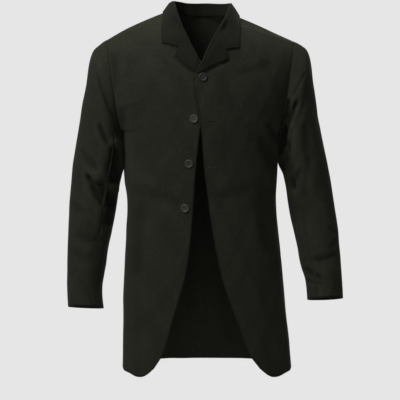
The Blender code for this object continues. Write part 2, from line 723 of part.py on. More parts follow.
def collar_half(side, carrier):
    """Points of the collar's visible side from its front end to the middle of the back."""
    c = table(COLLAR, COLLAR_COLUMNS)
    knots = np.linspace(0, 1, len(COLLAR))
    fronts = body(-1, c["level"], edge_share(1, c["level"]))
    backs = body(1, c["level"], np.zeros(len(COLLAR)))
    seam = np.where(c["panel"][:, None] < 0.5, fronts, backs)
    roll = np.stack([c["roll_x"], c["roll_y"], c["roll_z"]], axis=1)
    edge = np.stack([c["edge_x"], c["edge_y"], c["edge_z"]], axis=1)
    at = steps(COLLAR_GRID[0])
    seam, roll, edge = (smooth(knots, part, at) for part in (seam, roll, edge))
    down = unit(seam - roll)
    height = np.linalg.norm(seam - roll, axis=1) - COLLAR_SEAM_RISE
    course = np.gradient(roll, axis=0)
    course[-1] = (-1.0, 0, 0)
    out = unit(np.cross(down, course))
    out *= np.sign((out * (edge - seam)).sum(axis=1))[:, None]
    inner = fold(roll, down, out, height, np.full(len(at), FOLD_HALF))
    edge = seated(edge, carrier, LEAF_LIFT)
    share = steps(COLLAR_GRID[1])[None, 1:, None]
    leaf = inner[:, -1:] + (edge[:, None] - inner[:, -1:]) * share
    tent = np.minimum(share / NOTCH_SHARE, (1 - share) / (1 - NOTCH_SHARE))
    start, end = inner[0, -1], edge[0]
    notch = np.array([NOTCH[side][0], 0, NOTCH[side][1]]) + GORGE_AWAY * GORGE_GAP
    notch = notch - (start + (end - start) * NOTCH_SHARE) * [1, 0, 1]
    fade = ((1 - at / NOTCH_ROWS).clip(0, 1) ** 2)[:, None, None]
    leaf = leaf + tent * fade * notch
    arch = 4 * share * (1 - share) * ease(at, *LEAF_ARCH_ROWS)[:, None, None] * LEAF_ARCH
    leaf = leaf + arch * out[:, None, :]
    lift = LEAF_LIFT + ROLL_SPRING * (1 - share[..., 0])
    flat = laid(leaf[..., 0], leaf[..., 2], carrier, lift)
    near = (1 - ease(at, *LEAF_LAID_ROWS))[:, None, None]
    leaf = lifted(near * flat + (1 - near) * leaf, carrier, LEAF_LIFT)
    return np.concatenate([inner, leaf], axis=1)


def lapel_points(side, carrier):
    """Points of a lapel's visible side, from the roll line to its outer edge."""
    rows = table(LAPELS[side], LAPEL_COLUMNS)
    knots = np.linspace(0, 1, len(LAPELS[side]))
    at = steps(LAPEL_GRID[0])
    height = smooth(knots, rows["roll"], at)
    edge_x = smooth(knots, rows["edge_x"], at)
    edge_z = smooth(knots, rows["edge_z"], at)
    roll_x = edge_across(side, height)
    run = np.stack([edge_x - roll_x, edge_z - height], axis=1)
    wide = np.linalg.norm(run, axis=1)
    half = np.minimum(FOLD_HALF, wide * FOLD_SHARE)
    rise = LAPEL_RISE * half / FOLD_HALF + FOLD_MARGIN
    if side < 0:
        rise = rise + (UNDER_RISE - rise) * ease(at, *UNDER_ROWS)
    level, place = place_at(-1, roll_x, height)
    rolls = front(side)(level, place)
    out = facing(front(side), level, place, -1)
    ahead = np.stack([run[:, 0], np.zeros(len(at)), run[:, 1]], axis=1)
    aside = unit(ahead - out * (ahead * out).sum(axis=1)[:, None])
    top = rolls + out * rise[:, None] + aside * (half * ROLL_ASIDE - CLOTH - ROLL_GAP)[:, None]
    inner = fold(top, -out, aside, rise + CLOTH, half)
    share = steps(LAPEL_GRID[1])[None, 1:]
    begin = inner[:, -1]
    x = begin[:, :1] + (edge_x[:, None] - begin[:, :1]) * share
    z = begin[:, 2:] + (edge_z[:, None] - begin[:, 2:]) * share
    bend = np.minimum(share / LAPEL_NOTCH_SHARE, (1 - share) / (1 - LAPEL_NOTCH_SHARE))
    bend = bend * ((1 - at / NOTCH_ROWS).clip(0, 1) ** 2)[:, None]
    at_notch = begin[0] + (np.array([edge_x[0], 0, edge_z[0]]) - begin[0]) * LAPEL_NOTCH_SHARE
    x = x + bend * (NOTCH[side][0] - GORGE_AWAY[0] * GORGE_GAP - at_notch[0])
    z = z + bend * (NOTCH[side][1] - GORGE_AWAY[2] * GORGE_GAP - at_notch[2])
    lift = rise[:, None] * (1 - share) + LEAF_LIFT * share
    leaf = laid(x, z, carrier, np.maximum(lift, LEAF_LIFT))
    return np.concatenate([inner, leaf], axis=1)


def grid_normals(points):
    """Unit normals of a grid of points, from the runs along its rows and columns."""
    return unit(np.cross(np.gradient(points, axis=0), np.gradient(points, axis=1)))


def swayed(points, side):
    """The points on their own side of the middle line, with the right shoulder a little higher."""
    line = table(SWAY, SWAY_COLUMNS)
    aside = smooth(line["height"], line["aside"], points[..., 2].reshape(-1))
    moved = points.copy()
    moved[..., 0] = side * points[..., 0] + aside.reshape(points.shape[:-1])
    across = np.abs(moved[..., 0])
    upper = ease(moved[..., 2], *SHOULDER_HEIGHTS)
    mid_shoulder = ease(across, *SHOULDER_NEAR) * (1 - ease(across, *SHOULDER_FAR))
    moved[..., 2] -= np.sign(moved[..., 0]) * SHOULDER_RISE * mid_shoulder * upper
    return moved


def wall(name, outer, inner, material, collection):
    """A closed wall between two grids of points, with its four rims."""
    rows, columns = outer.shape[:2]
    index = np.arange(rows * columns).reshape(rows, columns)
    a, b, c, d = index[:-1, :-1], index[1:, :-1], index[1:, 1:], index[:-1, 1:]
    near = np.stack([a, b, c, d], axis=-1).reshape(-1, 4)
    far = near[:, ::-1] + rows * columns
    loop = np.concatenate([index[0, :-1], index[:-1, -1], index[-1, :0:-1], index[:0:-1, 0]])
    after = np.roll(loop, -1)
    rim = np.stack([loop, after, after + rows * columns, loop + rows * columns], axis=1)
    faces = np.concatenate([near, far, rim])
    points = np.concatenate([outer.reshape(-1, 3), inner.reshape(-1, 3)])
    mesh = bpy.data.meshes.new(name)
    mesh.from_pydata(points.tolist(), [], faces.tolist())
    made = bmesh.new()
    made.from_mesh(mesh)
    bmesh.ops.triangulate(made, faces=made.faces[:])
    if made.calc_volume(signed=True) < 0:
        bmesh.ops.reverse_faces(made, faces=made.faces[:])
    made.to_mesh(mesh)
    made.free()
    mesh.shade_smooth()
    mesh.set_sharp_from_angle(angle=SHARP_EDGE)
    mesh.materials.append(material)
    piece = bpy.data.objects.new(name, mesh)
    collection.objects.link(piece)
    return piece


def cloth(name, points, out, side, material, collection, thick=CLOTH):
    inner = points - out * thick
    return wall(name, swayed(points, side), swayed(inner, side), material, collection)


def finish(name, colour, roughness):
    material = bpy.data.materials.new(name)
    material.use_nodes = True
    shader = material.node_tree.nodes["Principled BSDF"]
    shader.inputs["Base Color"].default_value = (*colour, 1.0)
    shader.inputs["Roughness"].default_value = roughness
    shader.inputs["Metallic"].default_value = 0.0
    return material


def wool(name):
    return finish(name + "_wool", WOOL_COLOUR, WOOL_ROUGHNESS)


def horn(name):
    return finish(name + "_horn", HORN_COLOUR, HORN_ROUGHNESS)


def clear_scene():
    for thing in list(bpy.data.objects):
        bpy.data.objects.remove(thing, do_unlink=True)


def new_collection(name):
    made = bpy.data.collections.new(name)
    bpy.context.scene.collection.children.link(made)
    return made


def hole_cutter(name, collection):
    """Four rods, in one mesh, that cut the sewing holes of a button."""
    mesh = bpy.data.meshes.new(name)
    made = bmesh.new()
    for x in (-BUTTON_HOLE_SPREAD, BUTTON_HOLE_SPREAD):
        for y in (-BUTTON_HOLE_SPREAD, BUTTON_HOLE_SPREAD):
            bmesh.ops.create_cone(
                made,
                cap_ends=True,
                segments=6,
                radius1=BUTTON_HOLE_RADIUS,
                radius2=BUTTON_HOLE_RADIUS,
                depth=2 * BUTTON_RADIUS,
                matrix=Matrix.Translation((x, y, 0)),
            )
    made.to_mesh(mesh)
    made.free()
    cutter = bpy.data.objects.new(name, mesh)
    cutter.hide_render = True
    cutter.display_type = "WIRE"
    collection.objects.link(cutter)
    return cutter


def button(name, place, out, collection, cutters):
    """A turned disc with a raised rim and four sewing holes, flat on the cloth."""
    mesh = bpy.data.meshes.new(name)
    edges = [(i, i + 1) for i in range(len(BUTTON_PROFILE) - 1)]
    mesh.from_pydata([(radius, 0, height) for radius, height in BUTTON_PROFILE], edges, [])
    mesh.materials.append(horn(name))
    piece = bpy.data.objects.new(name, mesh)
    collection.objects.link(piece)
    turned = piece.modifiers.new("turned", "SCREW")
    turned.steps = turned.render_steps = 16
    turned.use_merge_vertices = True
    turned.merge_threshold = 0.0001
    turned.use_smooth_shade = True
    holes = piece.modifiers.new("holes", "BOOLEAN")
    holes.operation = "DIFFERENCE"
    holes.object = hole_cutter(name + "_holes", cutters)
    turn = Vector((0, 0, 1)).rotation_difference(Vector(out)).to_matrix().to_4x4()
    seat = Matrix.Translation(Vector(place) + Vector(out) * BUTTON_LIFT) @ turn
    piece.matrix_world = seat
    holes.object.matrix_world = seat
    return piece


def seat_of(side, across, height):
    """The place and the normal of a front at a button."""
    level, share = place_at(-1, across, height)
    place = front(side)(level, share)
    out = facing(front(side), level, share, -1)
    out = out * [side, 1, 1]
    return swayed(place, side), out


def main():
    clear_scene()
    coat = new_collection("frock_coat")
    cutters = new_collection("cutters")
    cutters.hide_render = True
    for side, word in ((1, "left"), (-1, "right")):
        points, out = front_panel(side)
        cloth("front_" + word, points, out, side, wool("front_" + word), coat)
        points, out = back_panel()
        cloth("back_" + word, points, out, side, wool("back_" + word), coat)
        halves = (
            ("sleeve_upper_", SLEEVE_BACK_SEAM, SLEEVE_FRONT_SEAM, UPPER_COLUMNS),
            ("sleeve_under_", SLEEVE_FRONT_SEAM, SLEEVE_BACK_SEAM + 2 * math.pi, UNDER_COLUMNS),
        )
        for name, start, end, columns in halves:
            points, out = sleeve_half(side, start, end, columns)
            cloth(name + word, points, out, side, wool(name + word), coat)
        points = lapel_points(side, samples(side))
        out = grid_normals(points)
        out *= np.sign(-out[:, -1, 1].mean())
        cloth("lapel_" + word, points, out, side, wool("lapel_" + word), coat)
    half = collar_half(1, samples(1))
    other = collar_half(-1, samples(-1))
    whole = np.concatenate([half, other[-2::-1] * [-1, 1, 1]])
    out = grid_normals(whole)
    out *= np.sign(-out[0, -1, 1])
    cloth("collar", whole, out, 1, wool("collar"), coat, COLLAR_CLOTH)
    for number, (side, across, height) in enumerate(BUTTONS, 1):
        place, out = seat_of(side, across, height)
        button(f"button_{number}", place, out, coat, cutters)


main()
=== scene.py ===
"""A black cutaway frock coat in wool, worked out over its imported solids.

Units are metres. +Z is up, the fronts face -Y and the wearer's left is +X. Shapes are worked out for
the wearer's left half, mirrored, and then pressed with the folds of each side. "Across" is the
distance from the middle line. side is 1 for the wearer's left and -1 for the right; way is -1 for
the front and 1 for the back. A pair of numbers is where a soft step begins and ends, unless its
comment says otherwise.
"""

import math
from functools import cache, partial

import bmesh
import bpy
import numpy as np
from bpy.props import FloatProperty, FloatVectorProperty, IntProperty, PointerProperty
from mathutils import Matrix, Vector


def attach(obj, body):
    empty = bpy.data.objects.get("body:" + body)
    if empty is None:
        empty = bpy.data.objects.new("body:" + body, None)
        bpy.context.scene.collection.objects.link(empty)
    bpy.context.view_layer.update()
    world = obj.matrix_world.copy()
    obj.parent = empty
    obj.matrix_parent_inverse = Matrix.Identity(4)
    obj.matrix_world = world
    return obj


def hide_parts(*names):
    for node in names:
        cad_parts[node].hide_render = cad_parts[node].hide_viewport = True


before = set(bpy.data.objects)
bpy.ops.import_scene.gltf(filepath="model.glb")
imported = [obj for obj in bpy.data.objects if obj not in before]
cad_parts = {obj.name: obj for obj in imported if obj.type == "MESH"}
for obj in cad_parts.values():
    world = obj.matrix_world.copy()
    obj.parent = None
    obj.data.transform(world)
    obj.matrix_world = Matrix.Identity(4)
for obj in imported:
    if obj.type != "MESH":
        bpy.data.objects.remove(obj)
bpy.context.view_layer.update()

bl_info = {
    "name": "Frock coat",
    "version": (1, 0, 0),
    "blender": (4, 5, 0),
    "location": "3D View > Sidebar > Coat",
    "description": "Cloth, buttons, stitching and studio for a cutaway frock coat",
    "category": "Add Mesh",
}

SIDES = ((1, "left"), (-1, "right"))

# Seams: half a gap is left at each edge, and the back of each sleeve reaches into the body instead.
SEAM_GAP = 0.0003
ARMHOLE_GAP = 0.0006
ARMHOLE_BITE = 0.0016
BITE_TURN = (0.15, 0.50)
COLLAR_SEAM_RISE = 0.0010
# The share of a row that shows its course at the edge, and how near to the middle line a point has to
# lie to be on the middle seam.
EDGE_STEP = 0.01
MIDDLE_SEAM_REACH = 0.004

# Heights of the body, and how far past the middle line the rows of the fronts begin.
UNDERARM = -0.295
YOKE_TOP = 0.009
HEM = -0.862
TAIL_CORNER = -0.846
FLUTE_TOP = -0.470
MIDDLE_OVERRUN = 0.035

# Rows below the underarm, rows above it and columns; then rows and columns.
FRONT_GRID = (17, 14, 16)
BACK_GRID = (14, 12, 12)
SLEEVE_ROWS = 25
COLLAR_GRID = (15, 7)
LAPEL_GRID = (10, 6)

# The neck's curve: its own rows from this level up, and how many columns its corner reaches.
NECK_LEVEL = -0.0150
NECK_ROWS = 5
CORNER_COLUMNS = 1.5

# How many times each search is repeated until it has settled.
HALVINGS = 24
PLACE_ROUNDS = 8
HEM_ROUNDS = 4
EDGE_ROUNDS = 6
SEAT_ROUNDS = 3

# The right shoulder's rise, where it works up and across, and how far the collar's top settles.
SHOULDER_RISE = 0.0055
SHOULDER_HEIGHTS = (-0.20, -0.10)
SHOULDER_NEAR = (0.02, 0.07)
SHOULDER_FAR = (0.17, 0.27)
ROLL_LEVEL = 0.034
ROLL_SETTLE = 0.50

# The overlap of the fronts: how far apart they stand, and where that fades.
LAP_RISE = 0.0030
LAP_ACROSS = (0.030, 0.075)
LAP_TOP = (-0.075, -0.025)
LAP_BOTTOM = (-0.345, -0.285)

# The armhole's oval, and the directions of the cloth's cut edge round it and along the shoulder.
ARMHOLE_CENTRE = -0.176
ARMHOLE_HALF_HEIGHT = 0.119
ARMHOLE_MIDDLE = 0.008
ARMHOLE_HALF_DEPTH = 0.064
SHOULDER_ACROSS = 0.2285
ARMHOLE_LEAN = 0.16
ARMHOLE_RIM = (0.47, 0.78, 0.87)
SHOULDER_RIM = (0.42, 0.0, 0.91)
# Where round the oval and up the body the cut edge takes that direction, and how far it works in.
RIM_TURN = (0.0, 0.5)
RIM_LEVELS = (UNDERARM, UNDERARM + 0.03)
RIM_FADE = 0.020

# Where the seams run round a sleeve, the sleeve's radius there, and how far each cuff is moved.
SLEEVE_FRONT_SEAM = math.radians(125)
SLEEVE_BACK_SEAM = math.radians(-110)
SLEEVE_RADIUS = 0.05
CUFF_RISE = {1: 0.0105, -1: -0.0105}
CUFF_SWING = {1: 0.0070, -1: -0.0025}
# Where down the sleeve its rings turn square to the arm, how far the cloth has to face the front or
# the back to take a trough, and where down the sleeve troughs begin.
RING_TURN = (0.1, 0.6)
TROUGH_FACING = (0.1, 0.7)
TROUGH_START = (0.0, 0.12)
# The start of each half's name, its two seams and its columns.
SLEEVE_HALVES = (
    ("sleeve_upper_", SLEEVE_BACK_SEAM, SLEEVE_FRONT_SEAM, 14),
    ("sleeve_under_", SLEEVE_FRONT_SEAM, SLEEVE_BACK_SEAM + 2 * math.pi, 8),
)

# The arm presses its sleeve against the body down to the foot of the armpit.
ARMPIT_PRESS = 0.0030
ARMPIT_TURN = (0.3, 0.9)
ARMPIT_TOP = (0.290, 0.312)
ARMPIT_FOOT = {1: (0.345, 0.380), -1: (0.362, 0.400)}

# The roll of collar and lapels. Its outline runs from the seam to the leaf: the drop as a share of
# the whole height plus a share of the roll's half width, and then how many half widths aside.
FOLD_OUTLINE = (
    (1.00, 0.00, -0.96),
    (0.55, 0.35, -1.00),
    (0.00, 0.80, -0.92),
    (0.00, 0.16, -0.52),
    (0.00, 0.00, 0.05),
    (0.00, 0.20, 0.62),
)
# The roll's half width, its most as a share of the lapel's width, and the cloth folded inside it. A
# lapel's roll stands that high over the front, and the right one sinks where the left one covers it.
FOLD_HALF = 0.0042
FOLD_SHARE = 0.22
FOLDED_CLOTH = 0.0020
FOLD_MARGIN = 0.0004
LAPEL_RISE = 0.0056
UNDER_RISE = 0.0029
UNDER_ROWS = (0.75, 0.95)
ROLL_GAP = 0.0012
ROLL_ASIDE = 0.96

# The leaves: how much higher the collar's springs at the roll, how high they lie, its arch, and where
# it is laid on the front.
ROLL_SPRING = 0.0024
LEAF_LIFT = 0.0032
LEAF_ARCH = 0.0010
LEAF_ARCH_ROWS = (0.1, 0.6)
LEAF_LAID_ROWS = (0.05, 0.30)

# What the leaves rest on: its levels, its grid, and how far to the front a place has to face.
REST_FROM = -0.20
REST_GRID = (90, 110)
REST_FACING = -0.15

# The notch's corner on each side, its share of the leaves' ends, and the gorge seam below it.
NOTCH = {1: (0.0590, -0.0800), -1: (0.0515, -0.0835)}
NOTCH_SHARE = 0.50
LAPEL_NOTCH_SHARE = 0.60
NOTCH_ROWS = 0.30
GORGE_GAP = 0.0007
GORGE_AWAY = np.array([0.88, 0.0, 0.47])
GORGE_COLUMNS = 9
GORGE_SLIT = 0.0001
GORGE_FADE = (1.0, 0.45, 0.12)

# The cloth: how creases thin out at their ends, the ridge beside each one (height, place and half
# width in half widths of the crease), and how far a wave runs round and is shifted.
CREASE_THIN = 0.75
CREASE_RIDGE = (0.32, 1.9, 0.9)
CREASE_FACING = (0.0, 0.35)
WAVE_ROUND = 0.7
WAVE_SHIFT = 1.7
CUT_BULGE = 0.42
SEAM_BULGE = 0.20
SHARP_EDGE = math.radians(62)

# Wear and painted shade: how far the dark band of painted shadow reaches from a cut edge, the depth of
# a trough at which its painted shade counts in full, the most that a ridge counts as worn lighter, and
# the share that the inside has.
PAINTED_EDGE_SHADOW_REACH = 0.0022
PAINTED_TROUGH_SHADE_DEPTH = 0.0040
WEAR_RIDGE = 0.3
WEAR_AND_SHADE_INSIDE = 0.3

SECTION_COLUMNS = ("height", "half_width", "front", "back", "side", "square")
SECTIONS = (
    (-0.875, 0.2112, 0.116, 0.140, 0.0280, 0.62),
    (-0.790, 0.2060, 0.117, 0.134, 0.0250, 0.62),
    (-0.690, 0.2000, 0.118, 0.126, 0.0200, 0.62),
    (-0.600, 0.1940, 0.119, 0.118, 0.0160, 0.61),
    (-0.520, 0.1872, 0.119, 0.109, 0.0120, 0.60),
    (-0.447, 0.1830, 0.119, 0.104, 0.0100, 0.58),
    (-0.390, 0.1878, 0.122, 0.108, 0.0090, 0.57),
    (-0.340, 0.1902, 0.126, 0.115, 0.0085, 0.56),
)
YOKE_COLUMNS = ("level", "start_x", "start_y", "start_z", "x1", "y1", "x2", "y2", "arch", "turn")
FRONT_YOKE = (
    (-0.295, -0.035, -0.127, -0.295, 0.104, -0.1298, 0.1905, -0.076, 0.000, 1.00),
    (-0.205, -0.035, -0.126, -0.205, 0.098, -0.1280, 0.1745, -0.088, 0.000, 0.78),
    (-0.150, -0.035, -0.123, -0.150, 0.093, -0.1250, 0.1700, -0.098, 0.000, 0.60),
    (-0.112, -0.012, -0.119, -0.112, 0.085, -0.1175, 0.1710, -0.095, 0.000, 0.47),
    (-0.080, 0.009, -0.108, -0.080, 0.084, -0.1080, 0.1740, -0.084, 0.001, 0.37),
    (-0.045, 0.034, -0.089, -0.045, 0.092, -0.0910, 0.1800, -0.063, 0.002, 0.25),
    (-0.018, 0.062, -0.053, -0.018, 0.108, -0.0530, 0.1810, -0.031, 0.003, 0.12),
    (0.009, 0.082, 0.004, 0.009, 0.130, 0.0040, 0.1800, 0.006, 0.004, 0.00),
)
BACK_YOKE = (
    (-0.295, 0.000, 0.120, -0.295, 0.100, 0.1210, 0.1905, 0.082, 0.000, 1.00),
    (-0.220, 0.000, 0.125, -0.220, 0.095, 0.1265, 0.1760, 0.096, 0.000, 0.78),
    (-0.150, 0.000, 0.123, -0.150, 0.090, 0.1280, 0.1730, 0.108, 0.000, 0.60),
    (-0.090, 0.000, 0.111, -0.090, 0.085, 0.1200, 0.1730, 0.105, 0.001, 0.45),
    (-0.045, 0.000, 0.093, -0.045, 0.080, 0.1040, 0.1750, 0.093, 0.002, 0.33),
    (-0.015, 0.000, 0.070, 0.006, 0.085, 0.0790, 0.1780, 0.074, 0.003, 0.22),
    (-0.003, 0.048, 0.052, 0.010, 0.110, 0.0500, 0.1800, 0.043, 0.003, 0.10),
    (0.009, 0.082, 0.004, 0.009, 0.130, 0.0040, 0.1800, 0.006, 0.004, 0.00),
)
EDGE_COLUMNS = ("height", "left", "right")
FRONT_EDGE = (
    (-0.846, 0.1270, 0.1270),
    (-0.8125, 0.1045, 0.1060),
    (-0.741, 0.0810, 0.0810),
    (-0.687, 0.0627, 0.0627),
    (-0.628, 0.0450, 0.0450),
    (-0.561, 0.0320, 0.0320),
    (-0.477, 0.0200, 0.0225),
    (-0.420, 0.0145, 0.0165),
    (-0.358, 0.0082, 0.0105),
    (-0.300, 0.0045, 0.0040),
    (-0.2525, 0.0012, -0.0040),
    (-0.205, -0.0060, -0.0135),
    (-0.170, -0.0125, -0.0240),
    (-0.150, -0.0115, -0.0235),
    (-0.132, -0.0020, -0.0115),
    (-0.112, 0.0080, 0.0022),
    (-0.095, 0.0145, 0.0115),
    (-0.070, 0.0265, 0.0250),
    (-0.045, 0.0390, 0.0390),
    (-0.018, 0.0625, 0.0625),
    (0.009, 0.0820, 0.0820),
)
TAIL_COLUMNS = ("across", "height")
TAIL = (
    (0.100, -0.8460),
    (0.127, -0.8460),
    (0.142, -0.8600),
    (0.158, -0.8695),
    (0.172, -0.8715),
    (0.190, -0.8660),
    (0.2075, -0.8620),
    (0.230, -0.8620),
)
SWAY_COLUMNS = ("height", "aside")
SWAY = (
    (-0.880, 0.0165),
    (-0.790, 0.0135),
    (-0.690, 0.0086),
    (-0.600, 0.0065),
    (-0.520, 0.0045),
    (-0.447, 0.0025),
    (-0.380, 0.0005),
    (-0.330, 0.0000),
    (-0.060, 0.0000),
    (-0.020, 0.0010),
    (0.060, 0.0050),
)
RING_COLUMNS = ("outer_x", "outer_z", "inner_x", "inner_z", "middle_y", "half_depth")
SLEEVE_RINGS = (
    (0.2285, -0.0570, 0.1905, -0.2950, 0.008, 0.064),
    (0.2455, -0.0680, 0.1908, -0.3030, 0.008, 0.068),
    (0.2610, -0.0830, 0.1906, -0.3130, 0.008, 0.071),
    (0.2695, -0.1100, 0.1904, -0.3260, 0.008, 0.073),
    (0.2755, -0.1530, 0.1903, -0.3420, 0.009, 0.073),
    (0.2835, -0.2020, 0.1900, -0.3620, 0.010, 0.072),
    (0.2910, -0.2560, 0.1950, -0.3880, 0.012, 0.071),
    (0.3015, -0.3120, 0.2015, -0.4180, 0.014, 0.069),
    (0.3120, -0.3660, 0.2070, -0.4500, 0.014, 0.067),
    (0.3195, -0.4200, 0.2125, -0.4860, 0.012, 0.064),
    (0.3245, -0.4750, 0.2205, -0.5240, 0.005, 0.061),
    (0.3280, -0.5300, 0.2305, -0.5640, -0.006, 0.057),
    (0.3290, -0.5850, 0.2375, -0.6060, -0.018, 0.053),
    (0.3290, -0.6380, 0.2445, -0.6500, -0.030, 0.050),
    (0.3285, -0.6930, 0.2440, -0.6960, -0.040, 0.048),
)
# How much farther out each sleeve hangs than its rings say, at its outer and its inner line.
SLEEVE_EASE_COLUMNS = ("outer", "inner")
SLEEVE_EASE = {
    1: (
        (0.0000, 0.0000),
        (0.0000, 0.0000),
        (0.0000, 0.0000),
        (0.0000, 0.0000),
        (-0.0007, 0.0000),
        (-0.0017, 0.0022),
        (-0.0024, 0.0068),
        (-0.0012, 0.0055),
        (-0.0018, 0.0018),
        (-0.0018, 0.0010),
        (-0.0012, -0.0002),
        (0.0000, -0.0035),
        (0.0004, -0.0062),
        (0.0016, -0.0022),
        (0.0018, 0.0000),
    ),
    -1: (
        (0.0000, 0.0000),
        (0.0000, 0.0000),
        (0.0000, 0.0000),
        (0.0002, 0.0000),
        (0.0010, 0.0000),
        (0.0031, 0.0000),
        (0.0050, 0.0012),
        (0.0050, 0.0014),
        (0.0037, 0.0010),
        (0.0028, 0.0034),
        (0.0024, 0.0047),
        (0.0027, 0.0042),
        (0.0040, 0.0040),
        (0.0050, 0.0046),
        (0.0046, 0.0026),
    ),
}
COLLAR_COLUMNS = ("panel", "level", "roll_x", "roll_y", "roll_z", "edge_x", "edge_y", "edge_z")
COLLAR = (
    (0, -0.0450, 0.0395, -0.0935, -0.0415, 0.0905, -0.095, -0.0755),
    (0, -0.0330, 0.0480, -0.0840, -0.0230, 0.0920, -0.087, -0.0560),
    (0, -0.0180, 0.0580, -0.0640, 0.0000, 0.0940, -0.067, -0.0320),
    (0, -0.0050, 0.0650, -0.0360, 0.0210, 0.0940, -0.038, -0.0110),
    (0, 0.0080, 0.0695, -0.0040, 0.0370, 0.0910, 0.008, 0.0010),
    (1, 0.0030, 0.0625, 0.0300, 0.0430, 0.0850, 0.050, -0.0030),
    (1, -0.0040, 0.0390, 0.0530, 0.0433, 0.0560, 0.080, -0.0100),
    (1, -0.0150, 0.0000, 0.0620, 0.0437, 0.0000, 0.088, -0.0150),
)
LAPEL_COLUMNS = ("roll", "edge_x", "edge_z")
LAPELS = {
    1: (
        (-0.0482, 0.0665, -0.1020),
        (-0.0700, 0.0540, -0.1085),
        (-0.0950, 0.0360, -0.1185),
        (-0.1200, 0.0150, -0.1300),
        (-0.1320, 0.0030, -0.1370),
        (-0.1400, -0.0038, -0.1408),
    ),
    -1: (
        (-0.0482, 0.0592, -0.1040),
        (-0.0620, 0.0505, -0.1105),
        (-0.0790, 0.0375, -0.1195),
        (-0.0950, 0.0235, -0.1285),
        (-0.1060, 0.0145, -0.1345),
        (-0.1190, 0.0085, -0.1385),
    ),
}
# Side, distance from the middle line and height of each button, from the top down.
BUTTONS = (
    (1, 0.0068, -0.1510),
    (-1, 0.0150, -0.2480),
    (-1, 0.0275, -0.3535),
    (-1, 0.0395, -0.4590),
)

# The skirt's flutes: share of the row, width and depth.
FRONT_FLUTES = ((0.56, 0.060, 0.0030), (0.80, 0.060, -0.0035))
BACK_FLUTES = ((0.30, 0.080, -0.0040), (0.62, 0.080, 0.0040))

# The troughs that the solids have too, for each sleeve, in the wearer's left half.
SLEEVE_TROUGHS = {
    1: (
        (0.2150, -0.205, 0.2000, -0.270, 0.010, 0.0035),
        (0.2360, -0.215, 0.2060, -0.290, 0.012, 0.0030),
        (0.2550, -0.270, 0.2560, -0.330, 0.012, 0.0025),
        (0.2300, -0.390, 0.2500, -0.470, 0.016, 0.0030),
        (0.2640, -0.590, 0.3200, -0.580, 0.012, 0.0030),
        (0.2620, -0.632, 0.2950, -0.642, 0.010, 0.0030),
    ),
    -1: (
        (0.2560, -0.140, 0.2150, -0.205, 0.012, 0.0030),
        (0.2450, -0.262, 0.2180, -0.330, 0.013, 0.0035),
        (0.2850, -0.348, 0.2420, -0.390, 0.013, 0.0035),
        (0.2790, -0.390, 0.2400, -0.450, 0.014, 0.0055),
        (0.2900, -0.530, 0.2480, -0.540, 0.014, 0.0025),
    ),
}
BACK_SLEEVE_TROUGHS = (
    (0.2500, -0.165, 0.2150, -0.240, 0.013, 0.0030),
    (0.2950, -0.370, 0.2450, -0.400, 0.014, 0.0030),
    (0.3000, -0.430, 0.2500, -0.440, 0.014, 0.0030),
)

